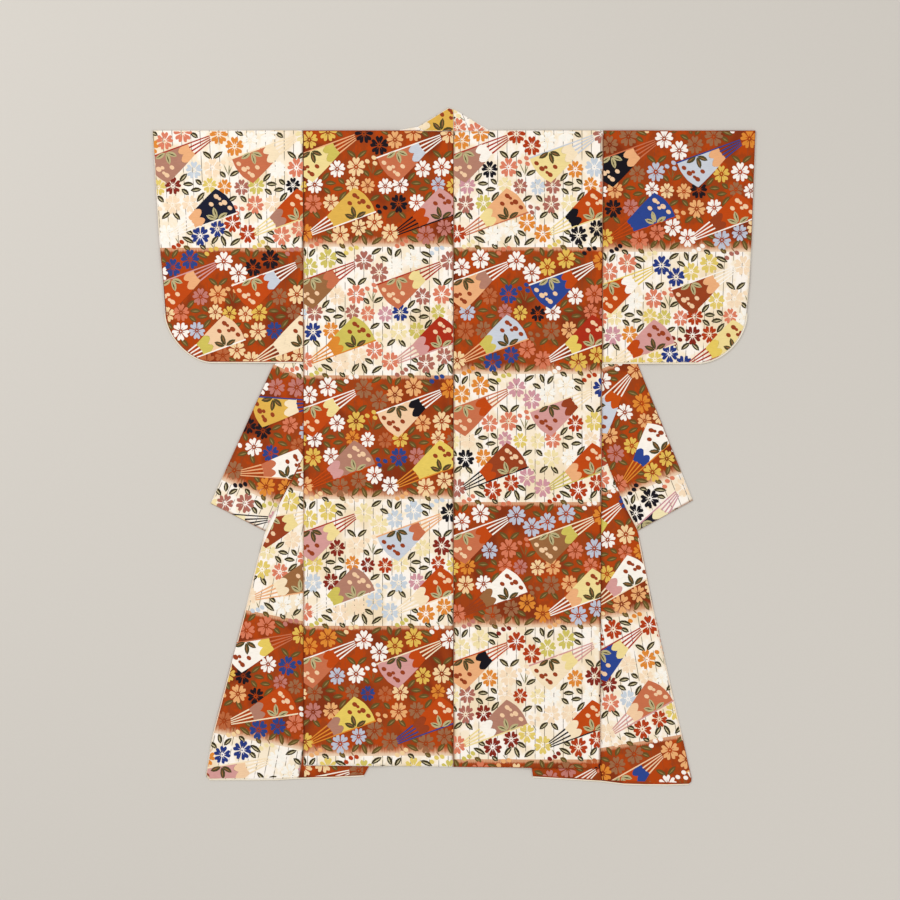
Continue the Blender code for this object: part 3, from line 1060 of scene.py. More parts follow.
# Fans of each layer and block, two upper ones and then two lower ones, from left to right: dyes of
# the paper, the inner zone and the ribs, or left to chance
FAN_PLAN = {
    "back left 0": "straw lime apricot, clay mist white, gold gold white, pink vermilion black",
    "back left 1": "brown clay red, clay straw red, lime orange orange, red pink pink",
    "back left 2": "vermilion straw white, peach black white, mauve pink vermilion, yellow yellow orange",
    "back left 3": "pink straw red, mist clay apricot, mauve lime white, vermilion cream cream",
    "back left 4": "clay vermilion white, pink vermilion cream, yellow mauve orange, vermilion brick blue",
    "back right 1": "mauve white red, straw cream mist, apricot straw clay, vermilion black straw",
    "back right 2": "apricot mauve white, blue vermilion white, mist lime apricot, red yellow white",
    "back right 3": "clay vermilion clay, pink brick cream, brick vermilion black, vermilion apricot lime",
    "back right 4": "clay vermilion white, brown lime cream, white brown brick, straw apricot white",
    "back right 5": "apricot black vermilion, cream straw pink, mauve white straw, vermilion cream black",
    "sleeve upper left 1": "mauve apricot red, clay cream cream, navy apricot white, vermilion mauve straw",
    "sleeve upper left 2": "vermilion apricot pink, vermilion mist white, peach lime white, cream cream cream",
    "sleeve upper right 0": "black apricot clay, mist apricot blue, blue blue vermilion, vermilion brick white",
    "sleeve upper right 1": "vermilion white yellow, brick apricot white, pink vermilion cream, straw yellow red",
    "collar upper left -1": "gold cream gold, chance, gold cream straw, chance",
    "collar upper left 2": "gold cream blue, chance, white clay apricot, chance",
    "collar upper right 2": "chance, chance, white blue orange, chance",
    "okumi left 1": "brick straw cream, brick straw cream, brown cream apricot, chance",
    "okumi left 2": "white yellow clay, chance, vermilion mauve cream, chance",
    "okumi left 3": "pink peach cream, chance, chance, chance",
    "okumi right 0": "chance, chance, white pink cream, chance",
    "okumi right 1": "blue straw red, chance, clay peach pink, chance",
    "okumi right 2": "vermilion blue peach, chance, chance, chance",
}
FAN_ORDER = (("upper", 0), ("upper", 1), ("lower", 0), ("lower", 1))

# Dyes of the blossoms, papers, inner zones and ribs on each ground, and how often the weaver takes each
BLOSSOM_DYES = {
    Ground.RED: (
        "FBF5EE 6, F4D3A0 5, EBAF74 4, E3BC57 3, DE8A33 2, D77A5A 3, C07A70 2, 9C6A48 3, "
        "BFC4D4 1.5, 2C4488 2, 1C151C 1.5, B9663C 1.5"
    ),
    Ground.WHITE: (
        "B23C14 4, 84281A 2, AD6A5C 3, DC7F62 3, E08A35 2, E3CB6C 3, D0C264 2, F3E2AE 3, "
        "F8DFC0 3, C9D3DE 2, CF96A0 2, 27397F 2, 17141C 1, FBF8F0 2"
    ),
}

PAPER_DYES = {
    Ground.RED: (
        "E9C98A 3, CDD2DE 2, 2E4A90 1.2, F7EFE0 2, DCCB6A 1.5, CDA0A0 1.5, E9B59A 2, C47A4E 1.5, "
        "C5500F 1.5"
    ),
    Ground.WHITE: (
        "C8694A 3, B04A30 1.5, A67A66 2, BF4316 2.5, D2C463 1.5, D0A0A2 1.5, 1C1B2A 1, "
        "2E4A90 0.8, EED3A0 1.5"
    ),
}

ZONE_DYES = {
    Ground.RED: "F0DDA4 3, 1C151C 0.8, CDD2DE 2, D6C85E 2, E0A8A0 1.5, C5500F 2, 2E4A90 0.6",
    Ground.WHITE: "E9C08A 2, F3E6B8 2.5, C9D0D8 1.5, BF4316 1.5, B08C7C 1.5, E3CB6C 1.5, 1C151C 0.6",
}

RIB_DYES = {
    Ground.RED: "FBF0E2 5, E9A860 2.5, D98C6C 2, 2C4488 0.8, 1C151C 0.8",
    Ground.WHITE: "A8340F 4, E08A35 2, 1C151C 0.8, EBD98C 1.5, CF96A0 1.5, F3E9D8 1.5",
}

# The weave draws a blossom a little taller than wide, as shares of its radius
BLOSSOM_WIDTH = 0.96
BLOSSOM_HEIGHT = 1.04
TRIM_DYE = "#EFDCC6"
# Rivets of the two fans in a repeat: across and down, in chart units
UPPER_RIVET = (0.0, -1.0)
LOWER_RIVET = (-42.1, 99.0)
LEAF_DYES = {Ground.RED: "#685024", Ground.WHITE: "#3B3218"}
VEIN_DYES = {Ground.RED: "#92804E", Ground.WHITE: "#CDC19A"}
STALK_DYES = {Ground.RED: "#8A5F30", Ground.WHITE: "#8F8A66"}

# Half of a petal of a blossom of about radius 1, from the slit at its foot to the notch at its tip
PETAL = (
    (0.58, 0.0), (0.21, 0.055), (0.29, 0.145), (0.50, 0.280), (0.70, 0.400), (0.86, 0.425),
    (0.99, 0.345), (1.05, 0.200), (0.83, 0.0),
)
PETALS = 5
# Outline of a leaf of length 1 and width 1, from the stalk round by the tip: along, out
LEAF = (
    (-0.5, 0.0), (-0.30, -0.30), (0.0, -0.44), (0.28, -0.34), (0.5, 0.0), (0.26, 0.42), (-0.02, 0.56),
    (-0.30, 0.40),
)
# The slit between the two halves of a leaf
VEIN = ((-0.36, -0.02), (0.0, -0.16), (0.40, -0.04), (0.06, 0.10))
LEAF_WIDTH = 4.8
LEAF_GROWTH = 1.06
STALK_WIDTH = 0.9
BUD_SIZE = 4.8


@dataclass(frozen=True)
class FanShape:
    """The half-open fan of the chart, in chart units and degrees below level."""

    guard_slope: float = 20.0
    # the other edge of the paper: distance from the rivet, slope
    last_slope: tuple[Place, ...] = ((24.0, 52.0), (63.0, 48.6))
    # the outer edge of the paper: share of the way from the guard, distance from the rivet
    outer: tuple[Place, ...] = ((0.0, 66.8), (0.28, 67.0), (0.64, 66.0), (1.0, 63.0))
    zone_start: float = 23.0
    zone_end: float = 29.5
    zone_growth: float = 4.5
    scallops: int = 2
    scallop_depth: float = 4.6
    ribs: int = 3
    # from the foot of one rib to the foot of the next, right and up
    rib_step: Place = (0.55, -1.65)
    rib_width: Place = (0.85, 1.45)
    guard_width: Place = (1.0, 1.4)

    def polar(self, share: float, length: float) -> Vector:
        """A point of the fan, right and up of its rivet.

        Args:
            share: 0 at the guard, 1 at the other edge.
            length: Distance from the rivet.

        Returns:
            The point in chart units.
        """
        slope = mix(self.guard_slope, read_table(self.last_slope, length), share)
        angle = math.radians(slope)
        return Vector((-length * math.cos(angle), -length * math.sin(angle)))

    def zone_edge(self, share: float) -> float:
        """The scalloped line between the inner zone and the paper."""
        scallop = abs(math.sin(share * math.pi * self.scallops))
        return self.zone_end + self.zone_growth * share + self.scallop_depth * scallop


class Prototypes:
    """Flat motifs of the chart, each made once and then laid wherever it is woven."""

    def __init__(self) -> None:
        """Makes all of them."""
        self.blossom = self.make_blossom()
        self.leaf = self.make_flat("leaf_prototype", LEAF)
        self.vein = self.make_flat("vein_prototype", VEIN)
        self.bud = self.make_bud()

    @staticmethod
    def keep(bm: BMesh, name: str) -> Mesh:
        """Keeps a flat form with its faces up."""
        for face in bm.faces:
            if face.normal.z < 0:
                face.normal_flip()
        mesh = bpy.data.meshes.new(name)
        bm.to_mesh(mesh)
        bm.free()
        return mesh

    def make_flat(self, name: str, outline: Sequence[Place]) -> Mesh:
        """A flat form with this outline."""
        bm = bmesh.new()
        bm.faces.new([bm.verts.new((along, out, 0.0)) for along, out in outline]).normal_update()
        return self.keep(bm, name)

    def make_blossom(self) -> Mesh:
        """A cherry blossom of radius 1 with notched petals and a round eye."""
        bm = bmesh.new()
        ring = [*PETAL, *((along, -out) for along, out in PETAL[-2:0:-1])]
        bm.faces.new([bm.verts.new((-out, along, 0.0)) for along, out in ring]).normal_update()
        bmesh.ops.spin(
            bm,
            geom=list(bm.faces),
            axis=(0, 0, 1),
            angle=math.tau * (PETALS - 1) / PETALS,
            steps=PETALS - 1,
            use_duplicate=True,
        )
        bmesh.ops.create_circle(bm, cap_ends=True, segments=6, radius=0.085)
        return self.keep(bm, "blossom_prototype")

    def make_bud(self) -> Mesh:
        """A round bud of diameter 1, a little longer than it is wide."""
        bm = bmesh.new()
        bmesh.ops.create_circle(bm, cap_ends=True, segments=8, radius=0.5)
        bmesh.ops.scale(bm, verts=bm.verts, vec=(1.1, 0.86, 1.0))
        bmesh.ops.rotate(bm, verts=bm.verts, matrix=Matrix.Rotation(-0.6, 3, "Z"))
        return self.keep(bm, "bud_prototype")


class FloatLayer:
    """All the floats of one face of a panel, as one thin raised mesh."""

    def __init__(self, loom: Loom, faces: Faces, prototypes: Prototypes, seed: str) -> None:
        """Starts an empty layer.

        Args:
            loom: How the repeat lies on the panel.
            faces: Which way the right side looks.
            prototypes: The flat motifs.
            seed: Names the panel, so that its colours come out the same each time.
        """
        self.loom = loom
        self.faces = faces
        self.prototypes = prototypes
        self.seed = seed
        self.bm, self.dye, self.lift = self.empty()

    @staticmethod
    def empty() -> tuple[BMesh, BMLayerItem, BMLayerItem]:
        """An empty mesh with a dye and a lift for each point."""
        bm = bmesh.new()
        dye = bm.verts.layers.float_color.new("dye")
        return bm, dye, bm.verts.layers.float.new("lift")

    def pick(self, table: str, *key: object) -> Colour:
        """A dye from a table, always the same one for the same key."""
        chance = random.Random(f"{self.seed} {key}")
        codes, weights = zip(*(entry.split() for entry in table.split(", ")))
        return linear("#" + chance.choices(codes, [float(weight) for weight in weights])[0])

    def frame_at(self, row: int, column: int, across: float, down: float) -> tuple[Matrix, Ground]:
        """Where a motif of the chart lies on this panel.

        Args:
            row: Which repeat down.
            column: Which repeat across.
            across: Chart units to the right of the rivet.
            down: Chart units below the rivet.

        Returns:
            The matrix that brings the motif's own axes into the frame, and the ground there.
        """
        block = row + (RIVET_BELOW_BLOCK + down) / REPEAT_DOWN
        out = (column * REPEAT_ACROSS + across) * CHART_UNIT
        place = self.loom.place_at(out, self.loom.down_at(block))
        matrix = Matrix.Translation(place)
        if self.faces is Faces.DOWN:
            # the cloth runs on over the shoulder, so its other end comes up underneath
            place.y = 2 * self.loom.y - place.y
            matrix = Matrix.Translation(place) @ Matrix.Diagonal((1, -1, 1, 1))
        turned = Matrix.Rotation(-math.radians(self.loom.turn), 4, "Z")
        return matrix @ turned, self.loom.ground(block)

    def add(
        self,
        motif: Mesh,
        matrix: Matrix,
        colour: Colour,
        lift: float,
        size: Place,
        slope: float = 0.0,
        middle: Place = (0.0, 0.0),
    ) -> None:
        """Lays one motif.

        Args:
            motif: The flat form.
            matrix: Where the axes of the chart lie in the frame.
            colour: Its dye.
            lift: Its height above the ground cloth.
            size: Its length and width in chart units.
            slope: Its turn in degrees.
            middle: Its place on those axes in chart units.
        """
        first = len(self.bm.verts)
        self.bm.from_mesh(motif)
        self.bm.verts.ensure_lookup_table()
        verts = self.bm.verts[first:]
        at = Matrix.Translation((middle[0] * CHART_UNIT, middle[1] * CHART_UNIT, 0.0))
        turned = Matrix.Rotation(math.radians(slope), 4, "Z")
        grow = Matrix.Diagonal((size[0] * CHART_UNIT, size[1] * CHART_UNIT, 1.0, 1.0))
        bmesh.ops.transform(self.bm, matrix=matrix @ at @ turned @ grow, verts=verts)
        for vert in verts:
            vert[self.dye] = colour
            vert[self.lift] = lift

    def add_shape(
        self,
        matrix: Matrix,
        columns: int,
        rows: int,
        point: Callable[[float, float], Place],
        colour: Colour,
        lift: float,
    ) -> None:
        """Lays a strip or a paper that is cut into a grid, so that it can follow the creases.

        Args:
            matrix: Its place in the frame.
            columns: Cells across.
            rows: Cells along.
            point: The place in chart units of a share across and along.
            colour: Its dye.
            lift: Its height above the ground cloth.
        """
        made = bmesh.ops.create_grid(self.bm, x_segments=columns, y_segments=rows, size=0.5)
        verts = made["verts"]
        for vert in verts:
            right, up = point(vert.co.x + 0.5, vert.co.y + 0.5)
            vert.co = (right * CHART_UNIT, up * CHART_UNIT, 0.0)
            vert[self.dye] = colour
            vert[self.lift] = lift
        made_faces = {face for vert in verts for face in vert.link_faces}
        for face in made_faces:
            face.normal_update()
            if face.normal.z < 0:
                face.normal_flip()
        bmesh.ops.transform(self.bm, matrix=matrix, verts=verts)

    def add_fan(self, matrix: Matrix, ground: Ground, key: tuple[object, ...]) -> None:
        """Lays a half-open fan that spreads down to the left of its rivet.

        Args:
            matrix: The place of its rivet.
            ground: What it is woven on.
            key: Tells it from other fans.
        """
        shape = FanShape()
        paper, zone, ribs = self.fan_dyes(ground, key)

        def paper_point(across: float, along: float) -> Vector:
            """A point of the paper."""
            outer = read_table(shape.outer, across)
            return shape.polar(across, mix(shape.zone_edge(across), outer, along))

        def zone_point(across: float, along: float) -> Vector:
            """A point of the inner zone."""
            return shape.polar(across, mix(shape.zone_start, shape.zone_edge(across) + 0.3, along))

        self.add_shape(matrix, 16, 6, paper_point, paper, PAPER_LIFT)
        self.add_shape(matrix, 16, 2, zone_point, zone, PAPER_LIFT)

        def add_strip(foot: Vector, tip: Vector, widths: Place, cuts: int) -> None:
            """Lays a rib or the guard."""
            side = Vector((foot.y - tip.y, tip.x - foot.x)).normalized()

            def strip_point(across: float, along: float) -> Vector:
                """A point of the strip."""
                return foot.lerp(tip, along) + side * (across - 0.5) * mix(*widths, along)

            self.add_shape(matrix, 1, cuts, strip_point, ribs, RIB_LIFT)

        for rib in range(1, shape.ribs + 1):
            foot = Vector(shape.rib_step) * rib
            tip = shape.polar(rib / shape.ribs * 0.96, shape.zone_start + 0.4)
            add_strip(foot, tip, shape.rib_width, 3)
        guard_tip = shape.polar(0.0, shape.outer[0][1] + 0.9)
        add_strip(Vector((0.0, 0.0)), guard_tip, shape.guard_width, 8)
        self.add_spray(matrix, paper)

    def fan_dyes(self, ground: Ground, key: tuple[object, ...]) -> tuple[Colour, Colour, Colour]:
        """The dyes of a fan: as the plan has them, or else picked by chance.

        Args:
            ground: What the fan is woven on.
            key: Repeat down, repeat across, and upper or lower fan.

        Returns:
            Dyes of the paper, the inner zone and the ribs.
        """
        row, column, which = key
        layer = self.seed.replace("_floats", "").replace("_", " ")
        plans = FAN_PLAN.get(f"{layer} {row}")
        if plans and (which, column) in FAN_ORDER:
            plan = plans.split(", ")[FAN_ORDER.index((which, column))]
            if plan != "chance":
                return tuple(Dye[name.upper()].colour for name in plan.split())
        tables = (("paper", PAPER_DYES), ("zone", ZONE_DYES), ("ribs", RIB_DYES))
        return tuple(self.pick(table[ground], part, *key) for part, table in tables)

    def add_spray(self, matrix: Matrix, paper: Colour) -> None:
        """Lays the leaves and buds that are woven on a fan's paper.

        Args:
            matrix: The place of the fan's rivet.
            paper: The dye of the paper, which the buds have to stand out from.
        """
        light = brightness(paper) > LIGHT_PAPER
        leaf = Dye.OLIVE.colour if light else Dye.SAGE.colour
        slit = Dye.BROWN.colour if light else Dye.OLIVE.colour
        bud = Dye.BRICK.colour if light else Dye.PEACH.colour
        motifs = self.prototypes
        for slope, length in SPRAY_LEAVES:
            angle = math.radians(slope)
            way = Vector((math.cos(angle), math.sin(angle)))
            middle = Vector(SPRAY_FOOT) + way * length * 0.58
            size = (length, LEAF_WIDTH)
            self.add(motifs.leaf, matrix, leaf, SPRAY_LIFT, size, slope, middle)
            self.add(motifs.vein, matrix, slit, SPRAY_LIFT + VEIN_RISE, size, slope, middle)
        for right, up, size in SPRAY_BUDS:
            self.add(motifs.bud, matrix, bud, SPRAY_LIFT, (size, size), middle=(right, up))

    def add_trim(self, near: Sequence[Place], far: Sequence[Place]) -> None:
        """Lays the pale edge that the lining rolls over a cut edge.

        Args:
            near: Its inner line in the frame.
            far: Its outer line in the frame, of as many points.
        """
        cells = len(near) - 1

        def trim_point(across: float, along: float) -> Vector:
            """A point between the two lines."""
            spot = round(across * cells)
            return Vector(near[spot]).lerp(Vector(far[spot]), along) / CHART_UNIT

        self.add_shape(Matrix(), cells, 1, trim_point, linear(TRIM_DYE), TRIM_LIFT)

    def weave(self, rows: range, columns: range, outlines: Sequence[Sequence[Place]]) -> None:
        """Lays the repeats that meet a panel and cuts off what lies outside it.

        Args:
            rows: Repeats down.
            columns: Repeats across.
            outlines: The corners of convex outlines in the frame.
        """
        whole = bmesh.new()
        for outline in outlines:
            for row in rows:
                for column in columns:
                    if not self.meets(row, column, outline):
                        continue
                    self.weave_repeat(row, column)
                    self.clip(outline)
                    repeat = bpy.data.meshes.new("repeat")
                    self.bm.to_mesh(repeat)
                    self.bm.free()
                    whole.from_mesh(repeat)
                    bpy.data.meshes.remove(repeat)
                    self.bm, self.dye, self.lift = self.empty()
        self.bm.free()
        self.bm = whole
        self.dye = whole.verts.layers.float_color["dye"]
        self.lift = whole.verts.layers.float["lift"]

    def meets(self, row: int, column: int, outline: Sequence[Place]) -> bool:
        """Tells whether a repeat may reach into an outline."""
        matrix, _ = self.frame_at(row, column, 0.0, REPEAT_DOWN / 2)
        middle = matrix.to_translation()
        reach = REPEAT_DOWN * CHART_UNIT
        return all(
            min(corner[axis] for corner in outline) - reach
            < middle[axis]
            < max(corner[axis] for corner in outline) + reach
            for axis in (0, 1)
        )

    def weave_repeat(self, row: int, column: int) -> None:
        """Lays one repeat: its leaves, blossoms, buds and two fans."""
        for leaf in LEAVES:
            matrix, ground = self.frame_at(row, column, leaf.across, leaf.down)
            size = (leaf.length * LEAF_GROWTH, LEAF_WIDTH)
            for motif, dyes, lift in (
                (self.prototypes.leaf, LEAF_DYES, LEAF_LIFT),
                (self.prototypes.vein, VEIN_DYES, LEAF_LIFT + VEIN_RISE),
            ):
                self.add(motif, matrix, linear(dyes[ground]), lift, size, leaf.slope)
        for stalk in STALKS:
            matrix, ground = self.frame_at(row, column, stalk.across, stalk.down)
            size, colour = (stalk.length, STALK_WIDTH), linear(STALK_DYES[ground])
            self.add(self.prototypes.leaf, matrix, colour, LEAF_LIFT, size, stalk.slope)
        for blossom in BLOSSOMS:
            matrix, ground = self.frame_at(row, column, blossom.across, blossom.down)
            colour = self.pick(BLOSSOM_DYES[ground], row, column, blossom.group)
            size = (blossom.radius * BLOSSOM_WIDTH, blossom.radius * BLOSSOM_HEIGHT)
            slope = 0.0 if blossom.down < 60 else 180.0
            self.add(self.prototypes.blossom, matrix, colour, BLOSSOM_LIFT, size, slope)
        for bud in BUDS:
            matrix, ground = self.frame_at(row, column, bud.across, bud.down)
            group, beside = bud.group, column
            if group == "next_low_left":
                group, beside = "low_left", column + 1
            colour = self.pick(BLOSSOM_DYES[ground], row, beside, group)
            self.add(self.prototypes.bud, matrix, colour, BLOSSOM_LIFT, (BUD_SIZE, BUD_SIZE))
        matrix, ground = self.frame_at(row, column, *UPPER_RIVET)
        self.add_fan(matrix, ground, (row, column, "upper"))
        matrix, ground = self.frame_at(row, column, *LOWER_RIVET)
        half_turn = Matrix.Rotation(math.pi, 4, "Z")
        self.add_fan(matrix @ half_turn, ground, (row, column, "lower"))

    def clip(self, outline: Sequence[Place]) -> None:
        """Cuts off what lies outside a panel.

        Args:
            outline: The corners of a convex outline in the frame, in either direction.
        """
        middle = Vector((sum(p[0] for p in outline), sum(p[1] for p in outline), 0.0)) / len(outline)
        for start, end in zip(outline, [*outline[1:], outline[0]]):
            along = Vector((end[0] - start[0], end[1] - start[1], 0.0))
            if along.length < 1e-6:
                continue
            outward = Vector((along.y, -along.x, 0.0)).normalized()
            corner = Vector((start[0], start[1], 0.0))
            if (middle - corner).dot(outward) > 0:
                outward.negate()
            bmesh.ops.bisect_plane(
                self.bm,
                geom=[*self.bm.verts, *self.bm.edges, *self.bm.faces],
                dist=1e-6,
                plane_co=corner,
                plane_no=outward,
                clear_outer=True,
            )

    def lay(self, surface: BVHTree) -> None:
        """Sets every float on the cloth and gives it a sloped edge that goes into the cloth.

        Args:
            surface: The middle surface of the cloth.
        """
        way = float(self.faces.value)
        bmesh.ops.triangulate(self.bm, faces=self.bm.faces)

        def height(x: float, y: float) -> float | None:
            """The face of the cloth at this place, or nothing beside it."""
            hit = surface.ray_cast(Vector((x, y, way)), Vector((0, 0, -way)))
            return None if hit[0] is None else hit[0].z + way * WALL / 2

        for vert in self.bm.verts:
            found = height(vert.co.x, vert.co.y)
            if found is None:
                near = surface.find_nearest(Vector((vert.co.x, vert.co.y, way * 0.01)))
                found = near[0].z + way * WALL / 2
            vert.co.z = found + way * vert[self.lift]
        # a face over a ridge is raised until it clears it
        for face in self.bm.faces:
            middle = face.calc_center_median()
            found = height(middle.x, middle.y)
            if found is None:
                continue
            short = FLOAT_CLEARANCE - way * (middle.z - found)
            if short > 0:
                for vert in face.verts:
                    vert.co.z += way * short
        rims = [edge for edge in self.bm.edges if len(edge.link_faces) == 1]
        outward: dict[Vector, Vector] = {}
        for edge in rims:
            face = edge.link_faces[0]
            along = edge.verts[1].co - edge.verts[0].co
            away = Vector((along.y, -along.x, 0.0))
            if away.length < 1e-9:
                continue
            away.normalize()
            if away.dot(face.calc_center_median() - edge.verts[0].co) > 0:
                away.negate()
            for vert in edge.verts:
                spot = vert.co.copy().freeze()
                outward[spot] = outward.get(spot, Vector()) + away
        made = bmesh.ops.extrude_edge_only(self.bm, edges=rims)
        for item in made["geom"]:
            if isinstance(item, BMVert):
                away = outward.get(item.co.copy().freeze(), Vector())
                if away.length > 0:
                    away = away.normalized() * FLOAT_SLOPE
                item.co += away
                item.co.z -= way * (item[self.lift] + FLOAT_ROOT)

    def finish(self, name: str, silk: Material) -> Object:
        """Makes the object, with a map of its plan for its pattern.

        Args:
            name: Name of the piece.
            silk: Finish of the floats.

        Returns:
            The finished object.
        """
        plan = self.bm.loops.layers.uv.new("OFBake")
        xs = [vert.co.x for vert in self.bm.verts]
        ys = [vert.co.y for vert in self.bm.verts]
        low_x, low_y = min(xs) - 0.004, min(ys) - 0.004
        span = max(max(xs) - low_x, max(ys) - low_y) + 0.004
        for face in self.bm.faces:
            for loop in face.loops:
                spot = loop.vert.co
                loop[plan].uv = ((spot.x - low_x) / span, (spot.y - low_y) / span)
        return new_object(name, self.bm, silk)


# The robe


@dataclass(frozen=True)
class Finishes:
    """The materials of the robe."""

    ground: Material
    lining: Material
    silk: Material


@dataclass
class Panel:
    """What every panel of the robe has."""

    half: RobeHalf
    finishes: Finishes
    prototypes: Prototypes
    loom: Loom
    relief: Relief

    def spot_of(self, place: Vector) -> Place:
        """Reach and drop of a place in the frame."""
        return self.half.sign * (place.x - CENTRE_SEAM_X), SHOULDER_Y - place.y

    def weave_at(self, spot: Spot) -> ClothPlace:
        """The cloth attribute of a spot whose right side is up."""
        return self.loom.cloth_at(self.half.place(spot))

    def plan(self, spots: Sequence[Place]) -> list[Place]:
        """An outline in the frame from pairs of reach and drop."""
        placed = [self.half.place(Spot(reach, drop, 0.0)) for reach, drop in spots]
        return [(place.x, place.y) for place in placed]

    def add_floats(
        self,
        piece: str,
        surface: BVHTree,
        faces: Faces,
        outlines: Sequence[Sequence[Place]],
        rows: range,
        columns: range,
        loom: Loom | None = None,
        trim: Sequence[Sequence[Place]] = (),
    ) -> Object:
        """Weaves the motifs of one face of the panel.

        Args:
            piece: Name of the floats, without the half.
            surface: The middle surface of the cloth.
            faces: Which way that face looks.
            outlines: Its convex parts, as pairs of reach and drop.
            rows: Repeats down.
            columns: Repeats across.
            loom: How the repeat lies there, if not as on the rest of the panel.
            trim: The inner and the outer line of a pale edge, where it has one.

        Returns:
            The finished object.
        """
        name = f"{piece}_{self.half.name}"
        layer = FloatLayer(loom or self.loom, faces, self.prototypes, name)
        layer.weave(rows, columns, [self.plan(outline) for outline in outlines])
        if trim:
            layer.add_trim(*(self.plan(line) for line in trim))
        layer.lay(surface)
        return settle(layer.finish(name, self.finishes.silk))

    def make_cloth(self, shell: Shell, piece: str, solid: str, under: Material) -> Object:
        """Makes the cloth of a shell, which stands for its solid and rides with the robe."""
        cloth = shell.finish(f"{piece}_{self.half.name}", self.finishes.ground, under)
        return settle(cloth, f"{solid}_{self.half.name}")


